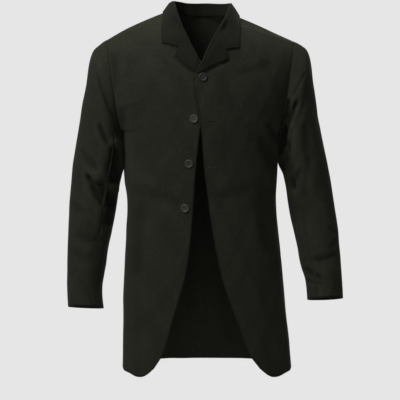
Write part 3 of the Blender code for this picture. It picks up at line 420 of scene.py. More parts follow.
# Creases as they lie on the coat, seen from the front or from behind: both ends, how far the middle
# bows aside, half width and depth.
CREASES = {
    "body_front": (
        (-0.0140, -0.1480, -0.0147, -0.1660, 0.000, 0.0024, 0.0018),
        (-0.0147, -0.1700, -0.0005, -0.2500, 0.001, 0.0024, 0.0020),
        (-0.0600, -0.1060, -0.0120, -0.1430, 0.001, 0.0038, 0.0024),
        (0.0660, -0.1110, 0.0020, -0.1460, 0.001, 0.0042, 0.0018),
        (-0.1870, -0.2300, -0.1850, -0.3900, 0.002, 0.0110, 0.0024),
        (-0.1780, -0.2220, -0.1520, -0.2140, 0.002, 0.0060, 0.0010),
        (0.1190, -0.2640, 0.1240, -0.2960, 0.001, 0.0095, 0.0012),
        (0.1640, -0.2640, 0.1820, -0.2980, 0.002, 0.0085, 0.0034),
        (0.1460, -0.3000, 0.1740, -0.3600, 0.004, 0.0150, 0.0022),
        (0.0980, -0.1390, 0.1600, -0.1200, 0.003, 0.0120, 0.0012),
        (-0.2080, -0.1000, -0.2080, -0.1700, 0.001, 0.0110, 0.0018),
        (-0.0060, -0.1750, -0.0020, -0.2150, 0.001, 0.0050, 0.0010),
        (0.0400, -0.4300, 0.1350, -0.4050, 0.004, 0.0150, 0.0010),
        (-0.0600, -0.4450, -0.1500, -0.4200, 0.003, 0.0150, 0.0010),
        (0.1450, -0.4300, 0.1620, -0.5600, 0.004, 0.0130, 0.0018),
        (-0.1450, -0.4600, -0.1520, -0.6100, 0.003, 0.0140, 0.0014),
    ),
    "body_back": (
        (0.0750, -0.0550, 0.1500, -0.1350, 0.008, 0.0140, 0.0018),
        (-0.0650, -0.0600, -0.1550, -0.1300, -0.008, 0.0140, 0.0016),
        (0.1780, -0.1900, 0.1150, -0.2700, 0.006, 0.0100, 0.0026),
        (-0.1800, -0.1800, -0.1100, -0.2850, -0.005, 0.0110, 0.0028),
        (0.1600, -0.2450, 0.0950, -0.3550, 0.004, 0.0120, 0.0018),
        (-0.1650, -0.2650, -0.1080, -0.3450, -0.005, 0.0120, 0.0018),
        (0.0350, -0.4250, 0.1350, -0.4050, 0.004, 0.0130, 0.0014),
        (-0.0450, -0.4150, -0.1300, -0.4350, -0.004, 0.0130, 0.0012),
        (0.0600, -0.4550, 0.1550, -0.4700, 0.005, 0.0120, 0.0010),
        (-0.0180, -0.4700, -0.0260, -0.7300, 0.004, 0.0150, 0.0016),
        (0.0500, -0.5200, 0.0640, -0.8200, 0.004, 0.0190, 0.0020),
        (-0.1050, -0.5400, -0.1220, -0.8300, 0.004, 0.0190, 0.0020),
    ),
    "sleeve_front": (
        (-0.2480, -0.1400, -0.2060, -0.2450, 0.004, 0.0032, 0.0016),
        (-0.2250, -0.1950, -0.2050, -0.2520, 0.004, 0.0070, 0.0010),
        (-0.2410, -0.2650, -0.2120, -0.3260, 0.002, 0.0060, 0.0034),
        (-0.2060, -0.3180, -0.2060, -0.3600, 0.000, 0.0075, 0.0070),
        (-0.2080, -0.3350, -0.2120, -0.3950, 0.000, 0.0140, 0.0100),
        (-0.2760, -0.3820, -0.2420, -0.4080, 0.003, 0.0042, 0.0032),
        (-0.2680, -0.3900, -0.2380, -0.4550, 0.002, 0.0080, 0.0062),
        (-0.2400, -0.4080, -0.2160, -0.4500, 0.000, 0.0140, 0.0090),
        (-0.2200, -0.4350, -0.2240, -0.5000, 0.000, 0.0120, 0.0060),
        (-0.2860, -0.3250, -0.2520, -0.3650, 0.003, 0.0080, 0.0014),
        (-0.2900, -0.5250, -0.2480, -0.5420, 0.003, 0.0100, 0.0012),
        (-0.3100, -0.5700, -0.2600, -0.5820, 0.004, 0.0110, 0.0010),
        (-0.3180, -0.4400, -0.2880, -0.4700, 0.003, 0.0110, 0.0010),
        (0.1955, -0.2020, 0.2125, -0.2060, -0.003, 0.0045, 0.0026),
        (0.2125, -0.2060, 0.1990, -0.2560, -0.003, 0.0052, 0.0062),
        (0.2290, -0.2100, 0.1970, -0.3120, 0.003, 0.0056, 0.0062),
        (0.2050, -0.2700, 0.1940, -0.3250, 0.000, 0.0085, 0.0060),
        (0.2050, -0.3050, 0.2010, -0.3650, 0.000, 0.0120, 0.0060),
        (0.2175, -0.2800, 0.2130, -0.3450, 0.001, 0.0065, 0.0040),
        (0.2190, -0.3500, 0.2260, -0.4080, 0.001, 0.0100, 0.0030),
        (0.2520, -0.1390, 0.2240, -0.1900, 0.001, 0.0040, 0.0010),
        (0.2520, -0.2680, 0.2590, -0.3440, 0.001, 0.0095, 0.0014),
        (0.2400, -0.3720, 0.2270, -0.4150, 0.002, 0.0060, 0.0024),
        (0.2620, -0.3500, 0.2500, -0.4300, 0.004, 0.0100, 0.0016),
        (0.3120, -0.5100, 0.3300, -0.5260, 0.001, 0.0055, 0.0016),
        (0.2780, -0.5850, 0.3220, -0.5740, 0.003, 0.0070, 0.0022),
        (0.3120, -0.5600, 0.3320, -0.5350, 0.001, 0.0055, 0.0014),
        (0.2580, -0.6120, 0.2860, -0.6280, 0.002, 0.0070, 0.0036),
        (0.2540, -0.6340, 0.2900, -0.6420, 0.002, 0.0050, 0.0026),
    ),
    "sleeve_back": (
        (0.2620, -0.1500, 0.2220, -0.2150, 0.003, 0.0080, 0.0022),
        (-0.2600, -0.1600, -0.2200, -0.2300, 0.003, 0.0080, 0.0024),
        (0.2900, -0.3550, 0.2400, -0.3900, 0.003, 0.0080, 0.0030),
        (-0.2950, -0.3650, -0.2450, -0.4000, 0.003, 0.0080, 0.0032),
        (0.3050, -0.4150, 0.2500, -0.4300, 0.003, 0.0070, 0.0034),
        (-0.3080, -0.4250, -0.2480, -0.4350, 0.003, 0.0070, 0.0034),
        (0.3100, -0.4600, 0.2620, -0.4620, 0.003, 0.0080, 0.0022),
        (-0.3120, -0.4750, -0.2580, -0.4700, 0.003, 0.0080, 0.0024),
        (0.3150, -0.5700, 0.2750, -0.5900, 0.003, 0.0080, 0.0014),
        (-0.3150, -0.5850, -0.2650, -0.6000, 0.003, 0.0080, 0.0014),
    ),
}

# Low waves that no tailored cloth is free of: wavelengths across and down, start and height.
UNEVEN = (
    (0.083, 0.137, 0.4, 0.00045),
    (0.051, 0.094, 2.1, 0.00028),
    (0.034, 0.061, 4.4, 0.00014),
)

# How each kind of cloth piece is made: which edges are cut (first and last row, first and last
# column), whose creases it takes, how far its seams keep it flat and how much lighter it is. The
# collar and lapels are darker, which paints shade on them.
KINDS = {
    "front": ((True, False, True, False), "body", 0.012, 0.0),
    "back": ((True, False, False, False), "body", 0.012, 0.0),
    "sleeve": ((False, True, False, False), "sleeve", 0.006, 0.0),
    "leaf": ((True, True, False, True), None, 0.006, -0.32),
}

# A button's outline: distance from the middle in radii, and height. It runs out over the top and back
# underneath. The dish ends at that point, and the rim's rows run on to the last point but one.
BUTTON_PROFILE = (
    (0.000, 0.0019),
    (0.30, 0.0018),
    (0.56, 0.0018),
    (0.64, 0.0021),
    (0.72, 0.0029),
    (0.80, 0.0033),
    (0.88, 0.0032),
    (0.955, 0.0025),
    (1.000, 0.0014),
    (0.985, 0.0005),
    (0.92, 0.0001),
    (0.000, 0.0000),
)
BUTTON_DISH = 2
BUTTON_DISH_ROWS = 22
BUTTON_RIM_ROWS = 34
BUTTON_TOP_ROWS = 40
BUTTON_SIDES = 72
# The lighter band on the rim, partly worn horn and partly a painted highlight: where it rises and where it
# begins to fall, in radii.
BUTTON_RIM_WORN_AND_LIT = (0.66, 0.84)
BUTTON_RIM_WORN_AND_LIT_END = 0.93
# Each sewing hole's distance from both middle lines and its radius, in radii, its soft edge in its
# own radii, and its depth.
HOLE_SPREAD = 0.19
HOLE_RADIUS = 0.095
HOLE_EDGE = (0.75, 1.25)
HOLE_DEPTH = 0.0014

# The sewing between two holes: how far past them, strand spacing and radius in thread radii, foot
# and height of the arch, and how much higher each strand lies.
STITCH_REACH = 1.04
STITCH_APART = 0.9
STITCH_RADIUS = 0.6
STITCH_FOOT = 0.0009
STITCH_ARCH = 0.0013
STITCH_OVER = 0.00012
STITCH_ROWS = 15
TWIST_SIDES = 8

# A worked buttonhole: how much longer its oval is before it is cut to length, its half width, lift
# and twist radius in thread radii, and the number and height of its stitches.
WORKED_LONG = 1.25
WORKED_WIDE = 2.2
WORKED_LIFT = 0.4
WORKED_TWIST = 0.95
WORKED_STITCHES = 26
WORKED_STITCH_HEIGHT = 0.16
WORKED_STEPS = 160
# A direction that no sewn path runs along, and how near to each other points are merged.
ASKEW = (0.13, 0.31, 0.94)
POLE_REACH = 1e-6

# How much lighter or darker the horn of each button is.
BUTTON_TONES = (-0.32, 0.42, 0.24, 0.36)

# Distance from the middle line and height of each buttonhole that shows.
BUTTONHOLES = ((0.0249, -0.2520), (0.0289, -0.3625), (0.0445, -0.4665))

# Name, place, width, power and colour of each light.
LIGHTS = (
    ("key", (-1.35, -1.40, 1.60), 1.0, 96.0, (1.0, 0.99, 0.98)),
    ("top", (0.10, -0.10, 1.90), 1.2, 28.0, (1.0, 0.92, 0.82)),
    ("fill", (-0.20, -3.20, 0.50), 2.0, 34.0, (1.0, 1.0, 1.0)),
    ("back", (0.80, 2.90, 0.40), 2.0, 30.0, (1.0, 1.0, 1.0)),
)
LIGHT_AIM = (0.0, 0.0, -0.35)

# The camera: its place and aim, its sensor's width in millimetres, and the width it sees at the coat.
CAMERA_PLACE = (0.0, -3.0, -0.276)
CAMERA_AIM = (-0.0012, 0.0, -0.4460)
CAMERA_SENSOR = 36.0
CAMERA_SPAN = 0.98

# The round floor: radius, height, where it fades out, rings and how they spread, and sides.
FLOOR_RADIUS = 2.6
FLOOR_HEIGHT = -1.5
FLOOR_FADE = (1.9, 2.9)
FLOOR_RINGS = 9
FLOOR_SPREAD = 0.8
FLOOR_SIDES = 96


YOKES = {-1: FRONT_YOKE, 1: BACK_YOKE}
FLUTES = {-1: FRONT_FLUTES, 1: BACK_FLUTES}


def table(rows, columns):
    """The table's columns as named arrays."""
    values = np.array(rows, float)
    return {name: values[:, i] for i, name in enumerate(columns)}


def smooth(knots, values, at):
    """Cubic curves through the knots: each slope averages those of the runs beside it."""
    knots = np.asarray(knots, float)
    values = np.asarray(values, float)
    at = np.clip(at, knots[0], knots[-1])
    run = np.diff(knots)
    spread = (-1,) + (1,) * (values.ndim - 1)
    rise = np.diff(values, axis=0) / run.reshape(spread)
    share = (run[1:] / (run[1:] + run[:-1])).reshape(spread)
    slope = np.concatenate([rise[:1], share * rise[:-1] + (1 - share) * rise[1:], rise[-1:]])
    i = np.clip(np.searchsorted(knots, at, side="right") - 1, 0, len(run) - 1)
    more = at.shape + (1,) * (values.ndim - 1)
    w = ((at - knots[i]) / run[i]).reshape(more)
    step = run[i].reshape(more)
    start = values[i] * (1 + 2 * w) * (1 - w) ** 2 + step * slope[i] * w * (1 - w) ** 2
    end = values[i + 1] * w**2 * (3 - 2 * w) - step * slope[i + 1] * w**2 * (1 - w)
    return start + end


def ease(value, low, high):
    """0 below low, 1 above high and a soft step between."""
    w = np.clip((value - low) / (high - low), 0, 1)
    return w * w * (3 - 2 * w)


def bell(off):
    """1 in the middle and towards 0 away from it: e to the power of minus the square."""
    return np.exp(-(off**2))


def unit(vectors):
    """The vectors at a length of one."""
    return vectors / np.maximum(np.linalg.norm(vectors, axis=-1, keepdims=True), 1e-12)


def steps(count):
    """That many numbers from 0 to 1 at equal steps."""
    return np.linspace(0, 1, count)


def xyz(x, y, z):
    """Points from their three parts."""
    return np.stack([x, y, z], axis=-1)


def turns(count):
    """The angles of that many equal steps once round."""
    return np.linspace(0, 2 * np.pi, count + 1)[:-1]


def armhole(turn, way):
    """A point of the armhole's oval: cosine up and down, sine to the front or back."""
    angle = np.pi * np.asarray(turn, float)
    z = ARMHOLE_CENTRE + ARMHOLE_HALF_HEIGHT * np.cos(angle)
    y = ARMHOLE_MIDDLE + way * ARMHOLE_HALF_DEPTH * np.sin(angle)
    top = ARMHOLE_CENTRE + ARMHOLE_HALF_HEIGHT
    return xyz(SHOULDER_ACROSS - ARMHOLE_LEAN * (top - z), y, z)


def armhole_rim(turn, way):
    """The direction of the cloth's cut edge that body and sleeve share over the shoulder."""
    angle = np.pi * np.asarray(turn, float)
    out, ahead, up = ARMHOLE_RIM
    return unit(xyz(np.full_like(angle, out), way * ahead * np.sin(angle), up * np.cos(angle)))


def body_rows(way):
    """Heights and control points of a half's rows: level sections, then the yoke."""
    s = table(SECTIONS, SECTION_COLUMNS)
    reach = way * (s["front"] if way < 0 else s["back"])
    start = np.full_like(reach, -MIDDLE_OVERRUN if way < 0 else 0.0)
    corner = s["side"] + (reach - s["side"]) * s["square"]
    across = (start, s["square"] * s["half_width"], s["half_width"], s["half_width"])
    deep = (reach, reach, corner, s["side"])
    low = np.stack([xyz(x, y, s["height"]) for x, y in zip(across, deep)], axis=1)
    y = table(YOKES[way], YOKE_COLUMNS)
    first = xyz(y["start_x"], y["start_y"], y["start_z"])
    last = armhole(y["turn"], way)
    inner = []
    for name_x, name_y in (("x1", "y1"), ("x2", "y2")):
        along = (y[name_x] - first[:, 0]) / (last[:, 0] - first[:, 0])
        height = first[:, 2] + along * (last[:, 2] - first[:, 2]) + y["arch"]
        inner.append(xyz(y[name_x], y[name_y], height))
    high = np.stack([first, *inner, last], axis=1)
    return np.concatenate([s["height"], y["level"]]), np.concatenate([low, high])


ROWS = {way: body_rows(way) for way in (-1, 1)}


def body(way, level, share):
    """The half body: a cubic curve from the middle to the side in each level's row."""
    knots, controls = ROWS[way]
    level, share = np.broadcast_arrays(np.asarray(level, float), np.asarray(share, float))
    c = smooth(knots, controls, level.reshape(-1)).reshape(level.shape + (4, 3))
    if way > 0:
        c[..., 0, 0] = np.maximum(c[..., 0, 0], 0)
    t = share[..., None]
    s = 1 - t
    weights = (s**3, 3 * s * s * t, 3 * s * t * t, t**3)
    return sum(weight * c[..., i, :] for i, weight in enumerate(weights))


def facing(surface, u, v, outward):
    """Unit normals: the cross product of the surface's two slopes, on the side outward picks."""
    step = 1e-4
    along = surface(u + step, v) - surface(u - step, v)
    across = surface(u, v + step) - surface(u, v - step)
    return outward * unit(np.cross(along, across))


def share_at(way, level, across):
    """The share of a row at which it is that far from the middle, by halving the range."""
    level = np.asarray(level, float)
    low = np.zeros_like(level)
    high = np.ones_like(level)
    for _ in range(HALVINGS):
        middle = (low + high) / 2
        short = body(way, level, middle)[..., 0] < across
        low = np.where(short, middle, low)
        high = np.where(short, high, middle)
    return (low + high) / 2


def place_at(way, across, height):
    """The level and share of the point at that distance from the middle and that height."""
    across, height = np.broadcast_arrays(np.asarray(across, float), np.asarray(height, float))
    level = height.copy()
    for _ in range(PLACE_ROUNDS):
        share = share_at(way, level, across)
        level = level + height - body(way, level, share)[..., 2]
    return level, share_at(way, level, across)


def flute(way, level, share):
    """How far the skirt's upright folds stand out: bell curves across that grow to the hem."""
    grown = 1 - ease(level, HEM, FLUTE_TOP)
    out = np.zeros(np.broadcast(level, share).shape)
    for place, width, depth in FLUTES[way]:
        out = out - depth * bell((share - place) / width) * grown
    return out


def lap(level, across, side):
    """How far the left front stands out, and the right one in, where they overlap."""
    near = 1 - ease(across, *LAP_ACROSS)
    return side * LAP_RISE * near * (ease(level, *LAP_BOTTOM) * (1 - ease(level, *LAP_TOP)))


def panel_surface(side, way):
    """The outer surface of a panel: the half body moved out by its flutes, and a front by its lap."""
    bare = partial(body, way)

    def surface(level, share):
        points = bare(level, share)
        rise = flute(way, level, share)
        if way < 0:
            rise = lap(level, points[..., 0], side) + rise
        return points + facing(bare, level, share, way) * rise[..., None]

    return surface


def levels_of(low_rows, high_rows):
    """Shares of the way up from the hem to the underarm, and the levels above it."""
    under = UNDERARM + (NECK_LEVEL - UNDERARM) * steps(high_rows - 1)[:-1]
    around = NECK_LEVEL + (YOKE_TOP - NECK_LEVEL) * steps(NECK_ROWS)
    return steps(low_rows)[:-1], np.concatenate([under, around])


def hung(way, risen, share):
    """The level of a point below the underarm, whose row starts at the hem's own height there."""
    tail = table(TAIL, TAIL_COLUMNS)
    level = np.full(np.broadcast(risen, share).shape, HEM) * (1 - risen) + UNDERARM * risen
    for _ in range(HEM_ROUNDS):
        hem = np.full_like(level, HEM)
        if way < 0:
            hem = smooth(tail["across"], tail["height"], body(way, level, share)[..., 0])
        level = hem + (UNDERARM - hem) * risen
    return level


def edge_across(side, height):
    """How far from the middle a front is cut at each height."""
    edge = table(FRONT_EDGE, EDGE_COLUMNS)
    return smooth(edge["height"], edge["left" if side > 0 else "right"], height)


def edge_share(side, level):
    """The share of each row at which the front is cut."""
    height = level
    for _ in range(EDGE_ROUNDS):
        share = share_at(-1, level, edge_across(side, height))
        height = body(-1, level, share)[..., 2]
    return share


def panel_grid(side, way):
    """Levels and shares of a panel's points, from its cut edge or the middle seam to the side."""
    low_rows, high_rows, columns = FRONT_GRID if way < 0 else BACK_GRID
    risen, high = levels_of(low_rows, high_rows)
    start = np.zeros((len(risen) + len(high), 1))
    if way < 0:
        cut = np.concatenate([TAIL_CORNER + (UNDERARM - TAIL_CORNER) * risen, high])
        start = edge_share(side, cut)[:, None]
    share = start + (1 - start) * steps(columns)
    low = hung(way, risen[:, None], share[: len(risen)])
    return np.vstack([low, np.broadcast_to(high[:, None], (len(high), columns))]), share


def panel(side, way):
    """Outer points, wall and press directions of a panel, drawn in by half a gap at its seams."""
    level, share = panel_grid(side, way)
    surface = panel_surface(side, way)
    points = surface(level, share)
    out = facing(surface, level, share, way)
    above = (level[:, -1] > UNDERARM - 1e-6)[:, None]
    depth = way * (points[:, -1, 1] - ARMHOLE_MIDDLE) / ARMHOLE_HALF_DEPTH
    height = (points[:, -1, 2] - ARMHOLE_CENTRE) / ARMHOLE_HALF_HEIGHT
    points[:, -1] = np.where(above, armhole(np.arctan2(depth, height) / np.pi, way), points[:, -1])
    beyond = unit(surface(level[:, -1], share[:, -1] - EDGE_STEP) - points[:, -1])
    points[:, -1] += beyond * SEAM_GAP / 2
    below = unit(points[-2] - points[-1])
    points[-1] += below * SEAM_GAP / 2
    if way > 0:
        middle = points[:, 0, 0] < MIDDLE_SEAM_REACH
        points[:, 0, 0] = np.maximum(points[:, 0, 0], SEAM_GAP / 2)
        out[middle, 0, 0] = 0
        out[:, 0] = unit(out[:, 0])
    yoke = table(YOKES[way], YOKE_COLUMNS)
    turn = smooth(yoke["level"], yoke["turn"], level[:, -1])
    rim = armhole_rim(turn, way)
    far = np.linalg.norm(points - points[:, -1:], axis=-1)[..., None]
    near = bell(far / RIM_FADE) * ease(level[:, -1], *RIM_LEVELS)[:, None, None]
    press = unit(near * rim[:, None] + (1 - near) * out)
    over = ease(np.cos(np.pi * turn), *RIM_TURN)[:, None] * above
    out[:, -1] = unit(over * rim + (1 - over) * out[:, -1])
    out[-1] = press[-1] = unit(np.array(SHOULDER_RIM))
    return points, out, press


def beside(points, x0, z0, x1, z1, bow=0.0):
    """Distance, in front view, from a line between two ends that bows aside, and the share along it."""
    start, run = np.array([x0, z0]), np.array([x1 - x0, z1 - z0])
    off = points[..., [0, 2]] - start
    along = np.clip((off @ run) / (run @ run), 0, 1)[..., None]
    aside = np.array([run[1], -run[0]]) / np.linalg.norm(run)
    line = along * run + 4 * bow * along * (1 - along) * aside
    return np.linalg.norm(off - line, axis=-1), along[..., 0]


def troughs(points, rows):
    """Bell curves about each line between two ends, as deep as the line says."""
    depth = np.zeros(points.shape[:-1])
    for *ends, width, deep in rows:
        off, _ = beside(points, *ends)
        depth += deep * bell(off / width)
    return depth


def sleeve(side):
    """The sleeve: an oval ring, cosine across and sine in depth, carried down its rings."""
    r = table(SLEEVE_RINGS, RING_COLUMNS)
    extra = table(SLEEVE_EASE[side], SLEEVE_EASE_COLUMNS)
    knots = steps(len(SLEEVE_RINGS))
    late = (knots**2)[:, None] * np.array([CUFF_SWING[side], 0, CUFF_RISE[side]])
    lines = []
    for name in SLEEVE_EASE_COLUMNS:
        line = xyz(r[name + "_x"], r["middle_y"], r[name + "_z"])
        lines.append(line + late + extra[name][:, None] * [1, 0, 0])
    outer, inner = lines
    middle = (outer + inner) / 2
    course = np.gradient(middle, axis=0)
    level = xyz(np.zeros(len(knots)), -course[:, 2], course[:, 1])
    turned = ease(knots, *RING_TURN)[:, None]
    depth = unit(turned * unit(level) + (1 - turned) * np.array([0, 1.0, 0]))
    rings = np.stack([middle, (outer - inner) / 2, -depth * r["half_depth"][:, None]], axis=1)

    def bare(place, angle):
        place, angle = np.broadcast_arrays(np.asarray(place, float), np.asarray(angle, float))
        c = smooth(knots, rings, place.reshape(-1)).reshape(place.shape + (3, 3))
        cos, sin = np.cos(angle)[..., None], np.sin(angle)[..., None]
        return c[..., 0, :] + cos * c[..., 1, :] + sin * c[..., 2, :]

    def surface(place, angle):
        points = bare(place, angle)
        out = facing(bare, place, angle, -1)
        pressed = troughs(points, SLEEVE_TROUGHS[side]) * ease(-out[..., 1], *TROUGH_FACING)
        pressed += troughs(points, BACK_SLEEVE_TROUGHS) * ease(out[..., 1], *TROUGH_FACING)
        pressed *= ease(np.broadcast_to(place, pressed.shape), *TROUGH_START)
        closer = ease(-np.cos(angle), *ARMPIT_TURN) * ease(-points[..., 2], *ARMPIT_TOP)
        closer = ARMPIT_PRESS * closer * (1 - ease(-points[..., 2], *ARMPIT_FOOT[side]))
        closer = np.maximum(closer, ARMHOLE_BITE * ease(-np.sin(angle), *BITE_TURN))
        return points - out * pressed[..., None] + (ARMHOLE_GAP - closer)[..., None] * [1, 0, 0]

    return surface


def sleeve_half(side, start, end, columns):
    """Outer points, wall and press directions of a sleeve half between two seams."""
    gap = SEAM_GAP / 2 / SLEEVE_RADIUS
    place = steps(SLEEVE_ROWS)[:, None]
    angle = np.linspace(start + gap, end - gap, columns)[None, :]
    surface = sleeve(side)
    points = surface(place, angle)
    out = facing(surface, place, np.broadcast_to(angle, points.shape[:2]), -1)
    way = np.where(np.sin(angle[0]) > 0, -1.0, 1.0)
    turn = np.arccos(np.cos(angle[0])) / np.pi
    over = ease(np.cos(angle[0]), *RIM_TURN)[:, None]
    rim = armhole_rim(turn, way)
    far = np.linalg.norm(points - points[:1], axis=-1)[..., None]
    near = bell(far / RIM_FADE)
    press = unit(near * rim[None] + (1 - near) * out)
    out[0] = unit(over * rim + (1 - over) * out[0])
    return points, out, press


def samples(side):
    """Points and normals of both panels of a side, close together, to rest leaves on."""
    rows, columns = REST_GRID
    level = np.broadcast_to(np.linspace(REST_FROM, YOKE_TOP, rows)[:, None], REST_GRID)
    share = np.broadcast_to(steps(columns), REST_GRID)
    found = []
    for way in (-1, 1):
        surface = panel_surface(side, way)
        found.append((surface(level, share), facing(surface, level, share, way)))
    return tuple(np.concatenate([part.reshape(-1, 3) for part in both]) for both in zip(*found))


def nearest(points, places):
    """Which place is nearest to each point, by the least squared distance."""
    gap = (points**2).sum(axis=1)[:, None] - 2 * points @ places.T + (places**2).sum(axis=1)
    return np.argmin(gap, axis=1)


def over_nearest(points, carrier):
    """The nearest place's normal, and each point's height over that place's plane."""
    places, normals = carrier
    near = nearest(points, places)
    return normals[near], ((points - places[near]) * normals[near]).sum(axis=1)


def seated(points, carrier, lift):
    """The points moved along the nearest place's normal until they are lift away from it."""
    for _ in range(SEAT_ROUNDS):
        normal, off = over_nearest(points, carrier)
        points = points + normal * (lift - off)[:, None]
    return points


def lifted(points, carrier, lift):
    """The points moved out, where they are nearer to the carrier than lift."""
    flat = points.reshape(-1, 3)
    normal, off = over_nearest(flat, carrier)
    return (flat + normal * np.maximum(0.0, lift - off)[:, None]).reshape(points.shape)


def laid(across, height, carrier, lift):
    """Points over the front at that place in front view, lifted off the nearest place's plane."""
    places, normals = carrier
    ahead = normals[:, 1] < REST_FACING
    places, normals = places[ahead], normals[ahead]
    seen = np.stack([across.ravel(), height.ravel()], axis=1)
    near = nearest(seen, places[:, [0, 2]])
    q, n = places[near], normals[near]
    y = q[:, 1] - ((seen[:, 0] - q[:, 0]) * n[:, 0] + (seen[:, 1] - q[:, 2]) * n[:, 2]) / n[:, 1]
    rise = np.broadcast_to(lift, across.shape).reshape(-1, 1)
    return (xyz(seen[:, 0], y, seen[:, 1]) + n * rise).reshape(across.shape + (3,))


def fold(top, down, out, height, half):
    """The stand's visible face and the roll's top, from the seam to where the leaf begins."""
    half = np.asarray(half)[:, None]
    height = np.asarray(height)[:, None]
    stops = [(height * tall + half * wide, aside) for tall, wide, aside in FOLD_OUTLINE]
    return np.stack([top + down * drop + out * half * aside for drop, aside in stops], axis=1)


def tent(share, peak):
    """A straight rise from 0 to 1 at the peak and a straight fall back to 0."""
    return np.minimum(share / peak, (1 - share) / (1 - peak))


def notch_fade(at):
    """1 at a leaf's first row, falling away as the square of what is left of the notch's rows."""
    return (1 - at / NOTCH_ROWS).clip(0, 1) ** 2


def collar_half(side, carrier):
    """Points of the collar's visible side from its front end to the middle of the back."""
    c = table(COLLAR, COLLAR_COLUMNS)
    rows, columns = COLLAR_GRID
    knots, at = steps(len(COLLAR)), steps(rows)
    fronts = body(-1, c["level"], edge_share(1, c["level"]))
    backs = body(1, c["level"], np.zeros(len(COLLAR)))
    seam = np.where(c["panel"][:, None] < 0.5, fronts, backs)
    roll = xyz(c["roll_x"], c["roll_y"], c["roll_z"])
    edge = xyz(c["edge_x"], c["edge_y"], c["edge_z"])
    seam, roll, edge = (smooth(knots, part, at) for part in (seam, roll, edge))
    down = unit(seam - roll)
    height = np.linalg.norm(seam - roll, axis=1) - COLLAR_SEAM_RISE
    course = np.gradient(roll, axis=0)
    course[-1] = (-1.0, 0, 0)
    out = unit(np.cross(down, course))
    out *= np.sign((out * (edge - seam)).sum(axis=1))[:, None]
    inner = fold(roll, down, out, height, np.full(rows, FOLD_HALF))
    edge = seated(edge, carrier, LEAF_LIFT)
    share = steps(columns)[None, 1:, None]
    leaf = inner[:, -1:] + (edge[:, None] - inner[:, -1:]) * share
    start, end = inner[0, -1], edge[0]
    notch = np.array([NOTCH[side][0], 0, NOTCH[side][1]]) + GORGE_AWAY * GORGE_GAP
    notch = notch - (start + (end - start) * NOTCH_SHARE) * [1, 0, 1]
    leaf = leaf + tent(share, NOTCH_SHARE) * notch_fade(at)[:, None, None] * notch
    arch = 4 * share * (1 - share) * ease(at, *LEAF_ARCH_ROWS)[:, None, None] * LEAF_ARCH
    leaf = leaf + arch * out[:, None, :]
    lift = np.broadcast_to(LEAF_LIFT + ROLL_SPRING * (1 - share[..., 0]), leaf.shape[:2])
    flat = laid(leaf[..., 0], leaf[..., 2], carrier, lift)
    near = (1 - ease(at, *LEAF_LAID_ROWS))[:, None, None]
    leaf = lifted(near * flat + (1 - near) * leaf, carrier, LEAF_LIFT)
    return np.concatenate([inner, leaf], axis=1)


def lapel_points(side, carrier):
    """Points of a lapel's visible side, from the roll line to its outer edge."""
    rows, columns = LAPEL_GRID
    knots, at = steps(len(LAPELS[side])), steps(rows)
    lines = table(LAPELS[side], LAPEL_COLUMNS)
    height, edge_x, edge_z = (smooth(knots, lines[name], at) for name in LAPEL_COLUMNS)
    roll_x = edge_across(side, height)
    run = np.stack([edge_x - roll_x, edge_z - height], axis=1)
    half = np.minimum(FOLD_HALF, np.linalg.norm(run, axis=1) * FOLD_SHARE)
    rise = LAPEL_RISE * half / FOLD_HALF + FOLD_MARGIN
    if side < 0:
        rise = rise + (UNDER_RISE - rise) * ease(at, *UNDER_ROWS)
    level, place = place_at(-1, roll_x, height)
    surface = panel_surface(side, -1)
    out = facing(surface, level, place, -1)
    ahead = xyz(run[:, 0], np.zeros(rows), run[:, 1])
    aside = unit(ahead - out * (ahead * out).sum(axis=1)[:, None])
    shift = half * ROLL_ASIDE - FOLDED_CLOTH - ROLL_GAP
    top = surface(level, place) + out * rise[:, None] + aside * shift[:, None]
    inner = fold(top, -out, aside, rise + FOLDED_CLOTH, half)
    share = steps(columns)[None, 1:]
    begin = inner[:, -1]
    x = begin[:, :1] + (edge_x[:, None] - begin[:, :1]) * share
    z = begin[:, 2:] + (edge_z[:, None] - begin[:, 2:]) * share
    bend = tent(share, LAPEL_NOTCH_SHARE) * notch_fade(at)[:, None]
    at_notch = begin[0] + (np.array([edge_x[0], 0, edge_z[0]]) - begin[0]) * LAPEL_NOTCH_SHARE
    x = x + bend * (NOTCH[side][0] - GORGE_AWAY[0] * GORGE_GAP - at_notch[0])
    z = z + bend * (NOTCH[side][1] - GORGE_AWAY[2] * GORGE_GAP - at_notch[2])
    lift = rise[:, None] * (1 - share) + LEAF_LIFT * share
    leaf = laid(x, z, carrier, np.maximum(lift, LEAF_LIFT))
    return np.concatenate([inner, leaf], axis=1)


@cache
def leaves(side):
    """Half the collar and the lapel of a side, whose ends meet at the gorge seam up to the notch."""
    carrier = samples(side)
    collar, lapel = collar_half(side, carrier), lapel_points(side, carrier)
    apart = lapel[0, :GORGE_COLUMNS] - collar[0, :GORGE_COLUMNS]
    least = unit(apart) * GORGE_SLIT
    for row, share in enumerate(GORGE_FADE):
        collar[row, :GORGE_COLUMNS] += (apart - least) * share / 2
        lapel[row, :GORGE_COLUMNS] -= (apart - least) * share / 2
    return collar, lapel


def leaf_directions(points, sign_row):
    """Unit normals of a folded leaf, from the runs along its rows and columns."""
    out = unit(np.cross(np.gradient(points, axis=0), np.gradient(points, axis=1)))
    return out * np.sign(-out[sign_row, -1, 1].mean())


